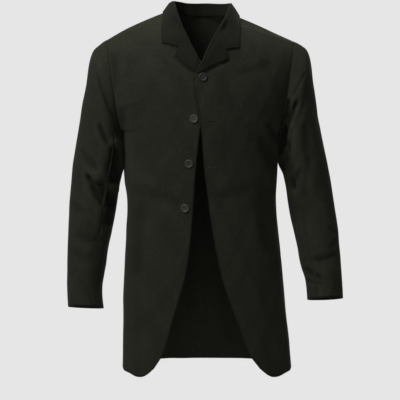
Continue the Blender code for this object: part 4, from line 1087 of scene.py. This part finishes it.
def swayed(points, side):
    """The points on their own side of the line that the coat sways along.

    The right shoulder is raised, the left one lowered and the collar's top settled.
    """
    line = table(SWAY, SWAY_COLUMNS)
    aside = smooth(line["height"], line["aside"], points[..., 2].reshape(-1))
    moved = points.copy()
    moved[..., 0] = side * points[..., 0] + aside.reshape(points.shape[:-1])
    across = np.abs(moved[..., 0])
    upper = ease(moved[..., 2], *SHOULDER_HEIGHTS)
    mid_shoulder = ease(across, *SHOULDER_NEAR) * (1 - ease(across, *SHOULDER_FAR))
    moved[..., 2] -= np.sign(moved[..., 0]) * SHOULDER_RISE * mid_shoulder * upper
    moved[..., 2] -= ROLL_SETTLE * np.maximum(moved[..., 2] - ROLL_LEVEL, 0.0)
    return moved


def finer(grid, times):
    """The grid with times as many steps each way, on cubic curves through its own points."""
    for _ in range(2):
        knots = np.arange(len(grid), dtype=float)
        at = np.linspace(0, len(grid) - 1, (len(grid) - 1) * times + 1)
        grid = np.swapaxes(smooth(knots, grid, at), 0, 1)
    return grid


def cornered(fine, coarse, times):
    """The fine grid, with its first columns straight below the corner that the neck's edge turns."""
    below = finer(coarse[: len(coarse) - NECK_ROWS + 1], times)
    kept = bell(np.arange(fine.shape[1]) / times / CORNER_COLUMNS)[None, :, None]
    fine = fine.copy()
    fine[: len(below)] = kept * below + (1 - kept) * fine[: len(below)]
    return fine


def creased(points, rows):
    """Depth of the creases: a bell curve about a bowed line, less two low ridges beside it."""
    ridge, place, width_share = CREASE_RIDGE
    depth = np.zeros(points.shape[:-1])
    for *line, width, deep in rows:
        off, along = beside(points, *line)
        off = off / width
        thin = CREASE_THIN + (1 - CREASE_THIN) * np.sin(np.pi * along)
        depth += deep * (bell(off / thin) - ridge * bell((off - place) / width_share) * thin)
    return depth


def uneven(points):
    """Low waves: products of a sine across and a sine down."""
    x, y, z = np.moveaxis(points, -1, 0)
    wave = np.zeros(points.shape[:-1])
    for across, down, start, height in UNEVEN:
        turn = 2 * np.pi * (x + WAVE_ROUND * y) / across + start
        wave += height * np.sin(turn) * np.sin(2 * np.pi * z / down + WAVE_SHIFT * start)
    return wave


def run_from(points, axis, last):
    """Distance along the cloth from the grid's first or last line, summed from step to step."""
    line = np.flip(points, axis) if last else points
    length = np.linalg.norm(np.diff(line, axis=axis), axis=-1)
    pad = [(0, 0), (0, 0)]
    pad[axis] = (1, 0)
    length = np.pad(np.cumsum(length, axis=axis), pad)
    return np.flip(length, axis) if last else length


def smooth_mesh(name, points, faces, place=None, wear_and_painted_light=None):
    """An object from a list of points and faces, with the cloth's own measure as its UV map."""
    mesh = bpy.data.meshes.new(name)
    mesh.from_pydata(points.tolist(), [], faces.tolist())
    corner = np.zeros(len(mesh.loops), np.int32)
    mesh.loops.foreach_get("vertex_index", corner)
    if place is not None:
        layer = mesh.uv_layers.new(name="cut")
        layer.data.foreach_set("uv", place[corner].astype(np.float32).ravel())
    # A mark for each point that the materials read: wear, with painted shade on cloth and a painted highlight
    # on buttons.
    if wear_and_painted_light is not None:
        worn = mesh.attributes.new("wear_and_painted_light", "FLOAT", "POINT")
        worn.data.foreach_set("value", wear_and_painted_light.astype(np.float32))
    mesh.shade_smooth()
    mesh.set_sharp_from_angle(angle=SHARP_EDGE)
    piece = bpy.data.objects.new(name, mesh)
    bpy.context.scene.collection.objects.link(piece)
    return piece


def wall(name, outer, out, thick, free, wear_and_painted_light):
    """A closed wall: outer grid, inner grid, and rims between them that bulge more where free.

    free says it of the first and last row and of the first and last column.
    """
    rows, columns = outer.shape[:2]
    total = rows * columns
    inner = outer - out * thick
    index = np.arange(total).reshape(rows, columns)
    near = np.stack([index[:-1, :-1], index[1:, :-1], index[1:, 1:], index[:-1, 1:]], -1).reshape(-1, 4)
    first_row, last_row, first_column, last_column = free
    sides = (
        (index[0, :-1], index[1, :-1], first_row),
        (index[:-1, -1], index[:-1, -2], last_column),
        (index[-1, :0:-1], index[-2, :0:-1], last_row),
        (index[:0:-1, 0], index[:0:-1, 1], first_column),
    )
    loop = np.concatenate([line for line, _, _ in sides])
    inside = np.concatenate([line for _, line, _ in sides])
    bulge = np.concatenate([np.full(len(line), CUT_BULGE if cut else SEAM_BULGE) for line, _, cut in sides])
    flat_outer, flat_inner = outer.reshape(-1, 3), inner.reshape(-1, 3)
    push = unit(flat_outer[loop] - flat_outer[inside])
    middle = (flat_outer[loop] + flat_inner[loop]) / 2 + push * thick * bulge[:, None]
    rim = 2 * total + np.arange(len(loop))
    after = np.roll(np.arange(len(loop)), -1)
    outside = np.stack([loop, loop[after], rim[after], rim], axis=1)
    inner_rim = np.stack([rim, rim[after], loop[after] + total, loop + total], axis=1)
    faces = np.concatenate([near, near[:, ::-1] + total, outside, inner_rim])
    points = np.concatenate([flat_outer, flat_inner, middle])
    a, b, c = (points[near[:, i]] for i in range(3))
    if (np.cross(b - a, c - a) * out.reshape(-1, 3)[near[:, 0]]).sum() < 0:
        faces = faces[:, ::-1]
    place = np.stack([run_from(outer, 1, False), run_from(outer, 0, False)], axis=-1).reshape(-1, 2)
    place = np.concatenate([place, place, place[loop]])
    wear_and_painted_light = wear_and_painted_light.reshape(-1)
    # The inside takes a share of the wear and painted shade, and each rim takes its edge's.
    wear_and_painted_light = np.concatenate([wear_and_painted_light, wear_and_painted_light * WEAR_AND_SHADE_INSIDE, wear_and_painted_light[loop]])
    return smooth_mesh(name, points, faces, place, wear_and_painted_light)


def cloth_piece(context, node, kind, coarse, side):
    """A cloth piece over its solid: the solid's grid made finer, pressed at seams and creased."""
    sizes, colours = settings(context)
    free, creases, flat_reach, tone = KINDS[kind]
    points, out, press = (finer(part, sizes.steps) for part in coarse)
    if kind == "back":
        points = cornered(points, coarse[0], sizes.steps)
    points = swayed(points, side)
    out = unit(out) * [side, 1, 1]
    press = unit(press) * [side, 1, 1]
    depth = np.zeros(points.shape[:-1])
    if creases:
        depth += creased(points, CREASES[creases + "_front"]) * ease(-out[..., 1], *CREASE_FACING)
        depth += creased(points, CREASES[creases + "_back"]) * ease(out[..., 1], *CREASE_FACING)
        depth *= sizes.creases
    wear_and_painted_light, groove = np.zeros(depth.shape), np.zeros(depth.shape)
    held = np.ones(depth.shape)
    for edge, cut in enumerate(free):
        far = run_from(points, edge // 2, edge % 2 == 1)
        if cut:
            # A dark band in the colour along each cut edge: painted shadow.
            wear_and_painted_light = np.minimum(wear_and_painted_light, -bell(far / PAINTED_EDGE_SHADOW_REACH))
        else:
            groove = np.maximum(groove, bell(far / sizes.seam_width))
            held *= ease(far, 0.0, flat_reach)
    depth = depth * held + sizes.seam_depth * groove + uneven(points) * held
    # Troughs turn darker in the colour, which paints shade, and ridges a little lighter as worn cloth.
    wear_and_painted_light = np.clip(wear_and_painted_light - np.clip(depth / PAINTED_TROUGH_SHADE_DEPTH, -WEAR_RIDGE, 1), -1, 1)
    thick = sizes.collar if node == "collar" else sizes.cloth
    piece = wall(node + "_cloth", points - press * depth[..., None], out, thick, free, wear_and_painted_light)
    finished(piece, node, wool(node, colours, sizes, tone))


def finished(piece, node, material):
    """The piece with its material, riding on the coat and standing for its solid."""
    piece.data.materials.append(material)
    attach(piece, "root")
    if node:
        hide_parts(node)


class Term:
    """A socket's value in a material: adding or multiplying it adds the Math node that does so."""

    def __init__(self, finish, socket):
        self.finish = finish
        self.socket = socket

    def math(self, operation, *values):
        node = self.finish.node("ShaderNodeMath", {"operation": operation}, dict(enumerate(values)))
        return Term(self.finish, node.outputs[0])

    def __add__(self, other):
        return self.math("ADD", self, other)

    def __radd__(self, other):
        return self.math("ADD", other, self)

    def __sub__(self, other):
        return self.math("SUBTRACT", self, other)

    def __rsub__(self, other):
        return self.math("SUBTRACT", other, self)

    def __mul__(self, other):
        return self.math("MULTIPLY", self, other)

    def __rmul__(self, other):
        return self.math("MULTIPLY", other, self)

    def __pow__(self, other):
        return self.math("POWER", self, other)

    def sine(self):
        return self.math("SINE", self)

    def within(self, low, high):
        """0 below low, 1 above high and a soft step between."""
        node = self.finish.node(
            "ShaderNodeMapRange",
            {"clamp": True, "interpolation_type": "SMOOTHSTEP"},
            {"Value": self, "From Min": low, "From Max": high},
        )
        return Term(self.finish, node.outputs["Result"])


class Finish:
    """A material whose nodes are added one by one."""

    def __init__(self, name):
        self.material = bpy.data.materials.new(name)
        self.material.use_nodes = True
        self.tree = self.material.node_tree
        self.shader = self.tree.nodes["Principled BSDF"]

    def node(self, kind, settings=None, values=None):
        """A node of that type: its settings first, then a value or a link for each socket."""
        node = self.tree.nodes.new(kind)
        for name, value in (settings or {}).items():
            setattr(node, name, value)
        for name, value in (values or {}).items():
            self.put(node.inputs[name], value)
        return node

    def put(self, socket, value):
        if isinstance(value, Term):
            self.tree.links.new(value.socket, socket)
        else:
            socket.default_value = value

    def term(self, node, output=0):
        return Term(self, node.outputs[output])

    def place(self):
        return self.term(self.node("ShaderNodeTexCoord"), "Object")

    def cut(self):
        """The cloth's own measure, across and down, in metres."""
        measure = self.term(self.node("ShaderNodeUVMap", {"uv_map": "cut"}))
        apart = self.node("ShaderNodeSeparateXYZ", {}, {0: measure})
        return self.term(apart, "X"), self.term(apart, "Y")

    # The point attribute that holds wear, painted shade and a painted highlight.
    def wear_and_painted_light(self):
        return self.term(self.node("ShaderNodeAttribute", {"attribute_name": "wear_and_painted_light"}), "Fac")

    def noise(self, where, scale, detail=3.0, roughness=0.55):
        values = {"Vector": where, "Scale": scale, "Detail": detail, "Roughness": roughness}
        return self.term(self.node("ShaderNodeTexNoise", {}, values), "Fac")

    def blend(self, share, low, high):
        """One colour turning into the other."""
        node = self.node("ShaderNodeMix", {"data_type": "RGBA"}, {0: share, 6: rgba(low), 7: rgba(high)})
        return self.term(node, 2)

    def raised(self, height, strength, distance):
        values = {"Height": height, "Strength": strength, "Distance": distance}
        return self.term(self.node("ShaderNodeBump", {}, values), "Normal")

    def shade(self, **values):
        """Sets the shader's sockets, named with _ for a space."""
        for name, value in values.items():
            self.put(self.shader.inputs[name.replace("_", " ")], value)
        return self.material


def rgba(colour):
    return (*colour, 1.0)


def wool(node, colours, sizes, tone=0.0):
    """Milled wool: a fine twill under a short nap, a little lighter on worn ridges, and darker at cut edges
    and in troughs, which paints shadow and shade there.
    """
    f = Finish(node + "_wool")
    place = f.place()
    across, down = f.cut()
    turn = 2 * math.pi / sizes.twill
    rib = ((across + down) * turn).sine()
    thread = ((across * 1.9 - down * 0.9) * turn).sine()
    nap = f.noise(place, 900.0, 4.0, 0.65)
    lint = f.noise(place, 140.0, 5.0, 0.60).within(0.45, 0.80)
    broad = f.noise(place, 9.0, 3.0, 0.50)
    # Painted shadow at cut edges and painted shade in troughs darken the colour, and worn ridges lighten it.
    rubbed_and_painted_light = f.wear_and_painted_light() * (0.55 + 0.45 * f.noise(place, 60.0, 3.0, 0.6))
    cloudy = f.noise(place, 150.0, 3.0, 0.6)
    share = 0.08 * broad + 0.13 * lint + 0.15 * cloudy
    # The tone makes the collar and lapels darker, which is painted shade.
    share = share + 0.08 * rib + 0.12 * nap + 0.32 * rubbed_and_painted_light + (0.10 + tone)
    return f.shade(
        Base_Color=f.blend(share.within(0.0, 1.0), colours.wool, colours.wool_rubbed),
        Roughness=0.82 + 0.12 * nap - 0.06 * rubbed_and_painted_light,
        Metallic=0.0,
        Normal=f.raised(0.45 * rib + 0.25 * thread + 0.9 * nap, 0.55, 0.00018),
        Specular_IOR_Level=0.09,
        Sheen_Weight=0.030,
        Sheen_Roughness=0.45,
        Sheen_Tint=rgba((0.80, 0.80, 0.66)),
    )


def horn(name, colours, tone=0.0):
    """Dark horn: faint streaks in the colour, a turned grain in the polish, and a rim that is lighter partly
    as worn horn and partly as a painted highlight.
    """
    f = Finish(name)
    place = f.place()
    streak = f.noise(place, 260.0, 4.0, 0.6)
    grain = f.noise(place, 2400.0, 2.0, 0.5)
    # The rim's lighter band: partly worn horn, partly a painted highlight.
    rubbed_and_painted_light = f.wear_and_painted_light() * (0.5 + 0.5 * streak)
    share = 0.35 * streak + 0.65 * rubbed_and_painted_light + tone
    return f.shade(
        Base_Color=f.blend(share.within(0.10, 0.95), colours.horn, colours.horn_worn_and_lit),
        Roughness=0.44 + 0.16 * grain - 0.04 * rubbed_and_painted_light,
        Metallic=0.0,
        Normal=f.raised(grain, 0.25, 0.00005),
        Specular_IOR_Level=0.17,
    )


def twist(name, colours):
    """Buttonhole twist: fine turns along the thread."""
    f = Finish(name)
    fuzz = f.noise(f.place(), 1500.0, 3.0, 0.6)
    return f.shade(
        Base_Color=f.blend(fuzz, colours.thread, colours.wool_rubbed),
        Roughness=0.78 + 0.15 * fuzz,
        Metallic=0.0,
        Normal=f.raised(fuzz, 0.5, 0.0001),
        Specular_IOR_Level=0.12,
    )


def on_front(side, across, height):
    """Places and normals of a front at that distance from the middle and that height."""
    level, share = place_at(-1, across, height)
    surface = panel_surface(side, -1)
    return surface(level, share), facing(surface, level, share, -1)


def basis(out):
    """Rows that turn a shape's z axis to the normal there and its x axis level."""
    z = unit(np.asarray(out, float))
    x = unit(np.cross([0.0, 0.0, 1.0], z) * -1.0)
    x = x if x[0] > 0 else -x
    return np.stack([x, np.cross(z, x), z])


def button_grid(radius):
    """A turned disc: a profile of distance and height carried round, sunk at four sewing holes."""
    last = len(BUTTON_PROFILE) - 1
    dish = np.linspace(0, BUTTON_DISH, BUTTON_DISH_ROWS)
    fine = np.concatenate([dish, np.linspace(BUTTON_DISH, last - 1, BUTTON_RIM_ROWS)[1:], [last]])
    line = smooth(np.arange(last + 1), BUTTON_PROFILE, fine)
    line[:, 0] = np.clip(line[:, 0], 0, 1) * radius
    turn = turns(BUTTON_SIDES)
    x = line[:, :1] * np.cos(turn)
    y = line[:, :1] * np.sin(turn)
    z = np.repeat(line[:, 1:], len(turn), axis=1)
    spread, hole = HOLE_SPREAD * radius, HOLE_RADIUS * radius
    away = np.hypot(np.abs(x) - spread, np.abs(y) - spread) / hole
    top = (np.arange(len(line)) < BUTTON_TOP_ROWS)[:, None]
    z = z - HOLE_DEPTH * (1 - ease(away, *HOLE_EDGE)) * top
    out = line[:, 0] / radius
    # The rim's lighter band: worn horn and a painted highlight.
    wear_and_painted_light = ease(out, *BUTTON_RIM_WORN_AND_LIT) * (1 - ease(out, BUTTON_RIM_WORN_AND_LIT_END, 1.0))
    return xyz(x, y, z), np.repeat(wear_and_painted_light[:, None], len(turn), axis=1) * top


def round_faces(grid, both=False):
    """Faces of a grid that closes on itself across, or both ways."""
    index = np.arange(grid.shape[0] * grid.shape[1]).reshape(grid.shape[:2])
    beyond, below = np.roll(index, -1, axis=1), np.roll(index, -1, axis=0)
    faces = np.stack([index, beyond, np.roll(below, -1, axis=1), below], axis=-1)
    return (faces if both else faces[:-1]).reshape(-1, 4)


def tube(path, radius):
    """A circle of that radius at each step of a path, its frame from the path's slope."""
    course = unit(np.gradient(path, axis=0))
    level = unit(np.cross(course, np.array(ASKEW)))
    other = np.cross(course, level)
    turn = turns(TWIST_SIDES)[None, :, None]
    ring = np.cos(turn) * level[:, None] + np.sin(turn) * other[:, None]
    return path[:, None] + ring * np.broadcast_to(radius, len(path))[:, None, None]


def outward_faces(points, faces):
    """The faces turned so that the closed shape they bound has a volume above zero."""
    a, b, c, d = (points[faces[:, i]] for i in range(4))
    volume = (a * np.cross(b, c)).sum() + (a * np.cross(c, d)).sum()
    return faces[:, ::-1] if volume < 0 else faces


def closed_piece(name, points, faces, wear_and_painted_light=None, repair=None):
    """An object whose faces look outward, and whose mesh a repair has run on."""
    piece = smooth_mesh(name, points, outward_faces(points, faces), None, wear_and_painted_light)
    if repair:
        repaired(piece, repair)
    return piece


def repaired(piece, repair):
    """Runs one repair on the piece's mesh."""
    made = bmesh.new()
    made.from_mesh(piece.data)
    repair(made)
    made.to_mesh(piece.data)
    made.free()


def merge_poles(made):
    """Merges the points that meet on a turned shape's axis."""
    bmesh.ops.remove_doubles(made, verts=made.verts, dist=POLE_REACH)


def fill_ends(made):
    """Fills the open ends of each strand."""
    bmesh.ops.holes_fill(made, edges=made.edges, sides=0)


def length(name, description, default):
    return FloatProperty(name=name, description=description, default=default, unit="LENGTH")


def tint(name, description, *default):
    return FloatVectorProperty(name=name, description=description, default=default, subtype="COLOR", size=3)


class CoatSizes(bpy.types.PropertyGroup):
    """Sizes that a user may change."""

    cloth: length("Cloth", "Thickness of the coat's cloth", 0.0020)
    collar: length("Collar", "Thickness of the collar", 0.0022)
    creases: FloatProperty(name="Creases", description="Depth of the creases beside those shown", default=1.0)
    steps: IntProperty(name="Steps", description="Steps of the cloth for each step of its solid", default=6)
    seam_depth: length("Seam depth", "How far seams sink", 0.0004)
    seam_width: length("Seam width", "How far a seam's dip reaches", 0.0030)
    twill: length("Twill", "Distance between the twill's ribs", 0.0012)
    button: length("Button", "Radius of the buttons", 0.0100)
    button_lift: length("Button lift", "Gap under a button", 0.0005)
    thread: length("Thread", "Radius of the sewing twist", 0.00038)
    buttonhole: length("Buttonhole", "Length of a buttonhole", 0.021)


class CoatColours(bpy.types.PropertyGroup):
    """Colours that a user may change."""

    wool: tint("Wool", "Colour of the wool", 0.0036, 0.0042, 0.0024)
    wool_rubbed: tint("Rubbed wool", "Colour where the wool is rubbed", 0.028, 0.0305, 0.0205)
    horn: tint("Horn", "Colour of the buttons", 0.0066, 0.0072, 0.0054)
    # The rim's lighter colour, partly worn horn and partly a painted highlight.
    horn_worn_and_lit: tint("Worn and lit horn", "Colour of the buttons' rims", 0.031, 0.0315, 0.0255)
    thread: tint("Thread", "Colour of the sewing twist", 0.010, 0.010, 0.009)
    floor: tint("Floor", "Colour of the floor", 0.78, 0.78, 0.78)
    around: tint("Surroundings", "Light from all round", 0.17, 0.17, 0.165)
    backdrop: tint("Backdrop", "Colour behind the coat", 0.791, 0.791, 0.791)


def settings(context):
    return context.scene.coat_sizes, context.scene.coat_colours


class COAT_OT_body(bpy.types.Operator):
    """Make the two fronts and the two halves of the back"""

    bl_idname = "coat.body"
    bl_label = "Fronts and back"

    def execute(self, context):
        for side, word in SIDES:
            for kind, way in (("front", -1), ("back", 1)):
                cloth_piece(context, f"{kind}_{word}", kind, panel(side, way), side)
        return {"FINISHED"}


class COAT_OT_sleeves(bpy.types.Operator):
    """Make the upper and under half of both sleeves"""

    bl_idname = "coat.sleeves"
    bl_label = "Sleeves"

    def execute(self, context):
        for side, word in SIDES:
            for name, *seams, columns in SLEEVE_HALVES:
                cloth_piece(context, name + word, "sleeve", sleeve_half(side, *seams, columns), side)
        return {"FINISHED"}


class COAT_OT_lapels(bpy.types.Operator):
    """Make the two turned-back lapels"""

    bl_idname = "coat.lapels"
    bl_label = "Lapels"

    def execute(self, context):
        for side, word in SIDES:
            points = leaves(side)[1]
            out = leaf_directions(points, slice(None))
            cloth_piece(context, "lapel_" + word, "leaf", (points, out, out), side)
        return {"FINISHED"}


class COAT_OT_collar(bpy.types.Operator):
    """Make the turned-down collar"""

    bl_idname = "coat.collar"
    bl_label = "Collar"

    def execute(self, context):
        left, right = leaves(1)[0], leaves(-1)[0]
        points = np.concatenate([left, right[-2::-1] * [-1, 1, 1]])
        out = leaf_directions(points, 0)
        cloth_piece(context, "collar", "leaf", (points, out, out), 1)
        return {"FINISHED"}


class COAT_OT_buttons(bpy.types.Operator):
    """Make the four buttons and the twist that they are sewn on with"""

    bl_idname = "coat.buttons"
    bl_label = "Buttons"

    def execute(self, context):
        sizes, colours = settings(context)
        grid, wear_and_painted_light = button_grid(sizes.button)
        faces = round_faces(grid)
        for number, ((side, across, height), tone) in enumerate(zip(BUTTONS, BUTTON_TONES), 1):
            place, out = on_front(side, across, height)
            out = out * [side, 1, 1]
            turn = basis(out)
            where = swayed(place, side) + out * sizes.button_lift
            points = (grid @ turn + where).reshape(-1, 3)
            piece = closed_piece(f"button_{number}_turned", points, faces, wear_and_painted_light.reshape(-1), merge_poles)
            material = horn(f"button_{number}_horn", colours, tone)
            finished(piece, f"button_{number}", material)
            self.sew(f"button_{number}_twist", where, turn, sizes, colours)
        return {"FINISHED"}

    def sew(self, name, where, turn, sizes, colours):
        """Two stitches of three strands, each an arch over the bridge between two holes."""
        spread = HOLE_SPREAD * sizes.button
        at = np.linspace(-1, 1, STITCH_ROWS)
        arch = STITCH_FOOT + STITCH_ARCH * np.sqrt(np.clip(1 - at**2, 0, 1))
        found, faces = [], []
        for row in (-1, 1):
            for strand in (-1, 0, 1):
                y = np.full(STITCH_ROWS, row * spread + strand * sizes.thread * STITCH_APART)
                path = xyz(at * spread * STITCH_REACH, y, arch + STITCH_OVER * strand)
                ring = tube(path @ turn + where, sizes.thread * STITCH_RADIUS)
                faces.append(round_faces(ring) + sum(len(part) for part in found))
                found.append(ring.reshape(-1, 3))
        piece = closed_piece(name, np.concatenate(found), np.concatenate(faces), None, fill_ends)
        finished(piece, None, twist(name, colours))


class COAT_OT_buttonholes(bpy.types.Operator):
    """Make the three worked buttonholes that show"""

    bl_idname = "coat.buttonholes"
    bl_label = "Buttonholes"

    def execute(self, context):
        """Each is a closed tube round a long oval whose ends are cut straight, swelling at each stitch."""
        sizes, colours = settings(context)
        turn = turns(WORKED_STEPS)
        x = np.clip(np.cos(turn) * WORKED_LONG, -1, 1) * sizes.buttonhole / 2
        z = np.sin(turn) * sizes.thread * WORKED_WIDE
        swell = 1 + WORKED_STITCH_HEIGHT * np.sin(WORKED_STITCHES * turn)
        radius = np.pad(sizes.thread * WORKED_TWIST * swell, 1, mode="wrap")
        for number, (across, height) in enumerate(BUTTONHOLES, 2):
            aside = np.interp(height, *zip(*SWAY))
            path, out = on_front(1, across - aside + x, height + z)
            path = swayed(path + out * sizes.thread * WORKED_LIFT, 1)
            ring = tube(np.pad(path, ((1, 1), (0, 0)), mode="wrap"), radius)[1:-1]
            piece = closed_piece(f"buttonhole_{number}", ring.reshape(-1, 3), round_faces(ring, both=True))
            finished(piece, None, twist(f"buttonhole_{number}_twist", colours))
        return {"FINISHED"}


class COAT_OT_stage(bpy.types.Operator):
    """Make the floor, the light and the camera"""

    bl_idname = "coat.stage"
    bl_label = "Stage"

    def execute(self, context):
        _, colours = settings(context)
        self.floor(colours)
        self.world(context, colours)
        for light in LIGHTS:
            self.light(context, *light)
        self.camera(context)
        return {"FINISHED"}

    def floor(self, colours):
        """A round floor: rings of points whose paleness fades out to the backdrop."""
        turn = turns(FLOOR_SIDES)
        ring = steps(FLOOR_RINGS) ** FLOOR_SPREAD * FLOOR_RADIUS
        x, y = ring[:, None] * np.cos(turn), ring[:, None] * np.sin(turn)
        grid = xyz(x, y, np.full_like(x, FLOOR_HEIGHT))
        piece = smooth_mesh("floor", grid.reshape(-1, 3), round_faces(grid))
        repaired(piece, merge_poles)
        f = Finish("floor_pale")
        far = f.term(f.node("ShaderNodeVectorMath", {"operation": "LENGTH"}, {0: f.place()}), "Value")
        f.shade(Base_Color=rgba(colours.floor), Roughness=0.8, Metallic=0.0)
        shown = f.term(f.shader)
        clear = f.term(f.node("ShaderNodeBsdfTransparent"))
        mix = f.node("ShaderNodeMixShader", {}, {0: far.within(*FLOOR_FADE), 1: shown, 2: clear})
        f.put(f.tree.nodes["Material Output"].inputs["Surface"], f.term(mix))
        piece.data.materials.append(f.material)

    def world(self, context, colours):
        """One even colour behind the coat for the camera, and another that lights it."""
        world = bpy.data.worlds.new("studio")
        world.use_nodes = True
        tree = world.node_tree
        seen = tree.nodes["Background"]
        seen.inputs["Color"].default_value = rgba(colours.backdrop)
        around = tree.nodes.new("ShaderNodeBackground")
        around.inputs["Color"].default_value = rgba(colours.around)
        path = tree.nodes.new("ShaderNodeLightPath")
        mix = tree.nodes.new("ShaderNodeMixShader")
        tree.links.new(path.outputs["Is Camera Ray"], mix.inputs[0])
        tree.links.new(around.outputs[0], mix.inputs[1])
        tree.links.new(seen.outputs[0], mix.inputs[2])
        tree.links.new(mix.outputs[0], tree.nodes["World Output"].inputs["Surface"])
        context.scene.world = world
        context.scene.view_settings.view_transform = "Standard"

    def light(self, context, name, place, size, power, colour):
        """A round light turned towards the coat."""
        data = bpy.data.lights.new(name, "AREA")
        data.shape = "DISK"
        data.size = size
        data.energy = power
        data.color = colour
        self.aimed(context, name, data, place, LIGHT_AIM)

    def camera(self, context):
        """Level with the chest, three metres off, looking a little down."""
        data = bpy.data.cameras.new("camera")
        data.sensor_width = CAMERA_SENSOR
        data.lens = CAMERA_SENSOR * -CAMERA_PLACE[1] / CAMERA_SPAN
        context.scene.camera = self.aimed(context, "camera", data, CAMERA_PLACE, CAMERA_AIM)

    def aimed(self, context, name, data, place, aim):
        """A light or camera at its place, looking at the aim."""
        thing = bpy.data.objects.new(name, data)
        context.scene.collection.objects.link(thing)
        thing.location = place
        thing.rotation_euler = (Vector(aim) - Vector(place)).to_track_quat("-Z", "Y").to_euler()
        return thing


class COAT_PT_panel(bpy.types.Panel):
    """The coat's pieces, sizes and colours"""

    bl_idname = "COAT_PT_panel"
    bl_label = "Frock coat"
    bl_space_type = "VIEW_3D"
    bl_region_type = "UI"
    bl_category = "Coat"

    def draw(self, context):
        for operator in OPERATORS:
            self.layout.operator(operator.bl_idname)
        for group in settings(context):
            box = self.layout.box()
            for name in group.__annotations__:
                box.prop(group, name)


OPERATORS = (
    COAT_OT_body,
    COAT_OT_sleeves,
    COAT_OT_lapels,
    COAT_OT_collar,
    COAT_OT_buttons,
    COAT_OT_buttonholes,
    COAT_OT_stage,
)
CLASSES = (CoatSizes, CoatColours, *OPERATORS, COAT_PT_panel)


def register():
    for cls in CLASSES:
        bpy.utils.register_class(cls)
    bpy.types.Scene.coat_sizes = PointerProperty(type=CoatSizes)
    bpy.types.Scene.coat_colours = PointerProperty(type=CoatColours)


def unregister():
    del bpy.types.Scene.coat_colours
    del bpy.types.Scene.coat_sizes
    for cls in reversed(CLASSES):
        bpy.utils.unregister_class(cls)


def main():
    register()
    bpy.ops.coat.body()
    bpy.ops.coat.sleeves()
    bpy.ops.coat.lapels()
    bpy.ops.coat.collar()
    bpy.ops.coat.buttons()
    bpy.ops.coat.buttonholes()
    bpy.ops.coat.stage()


if __name__ == "__main__":
    main()
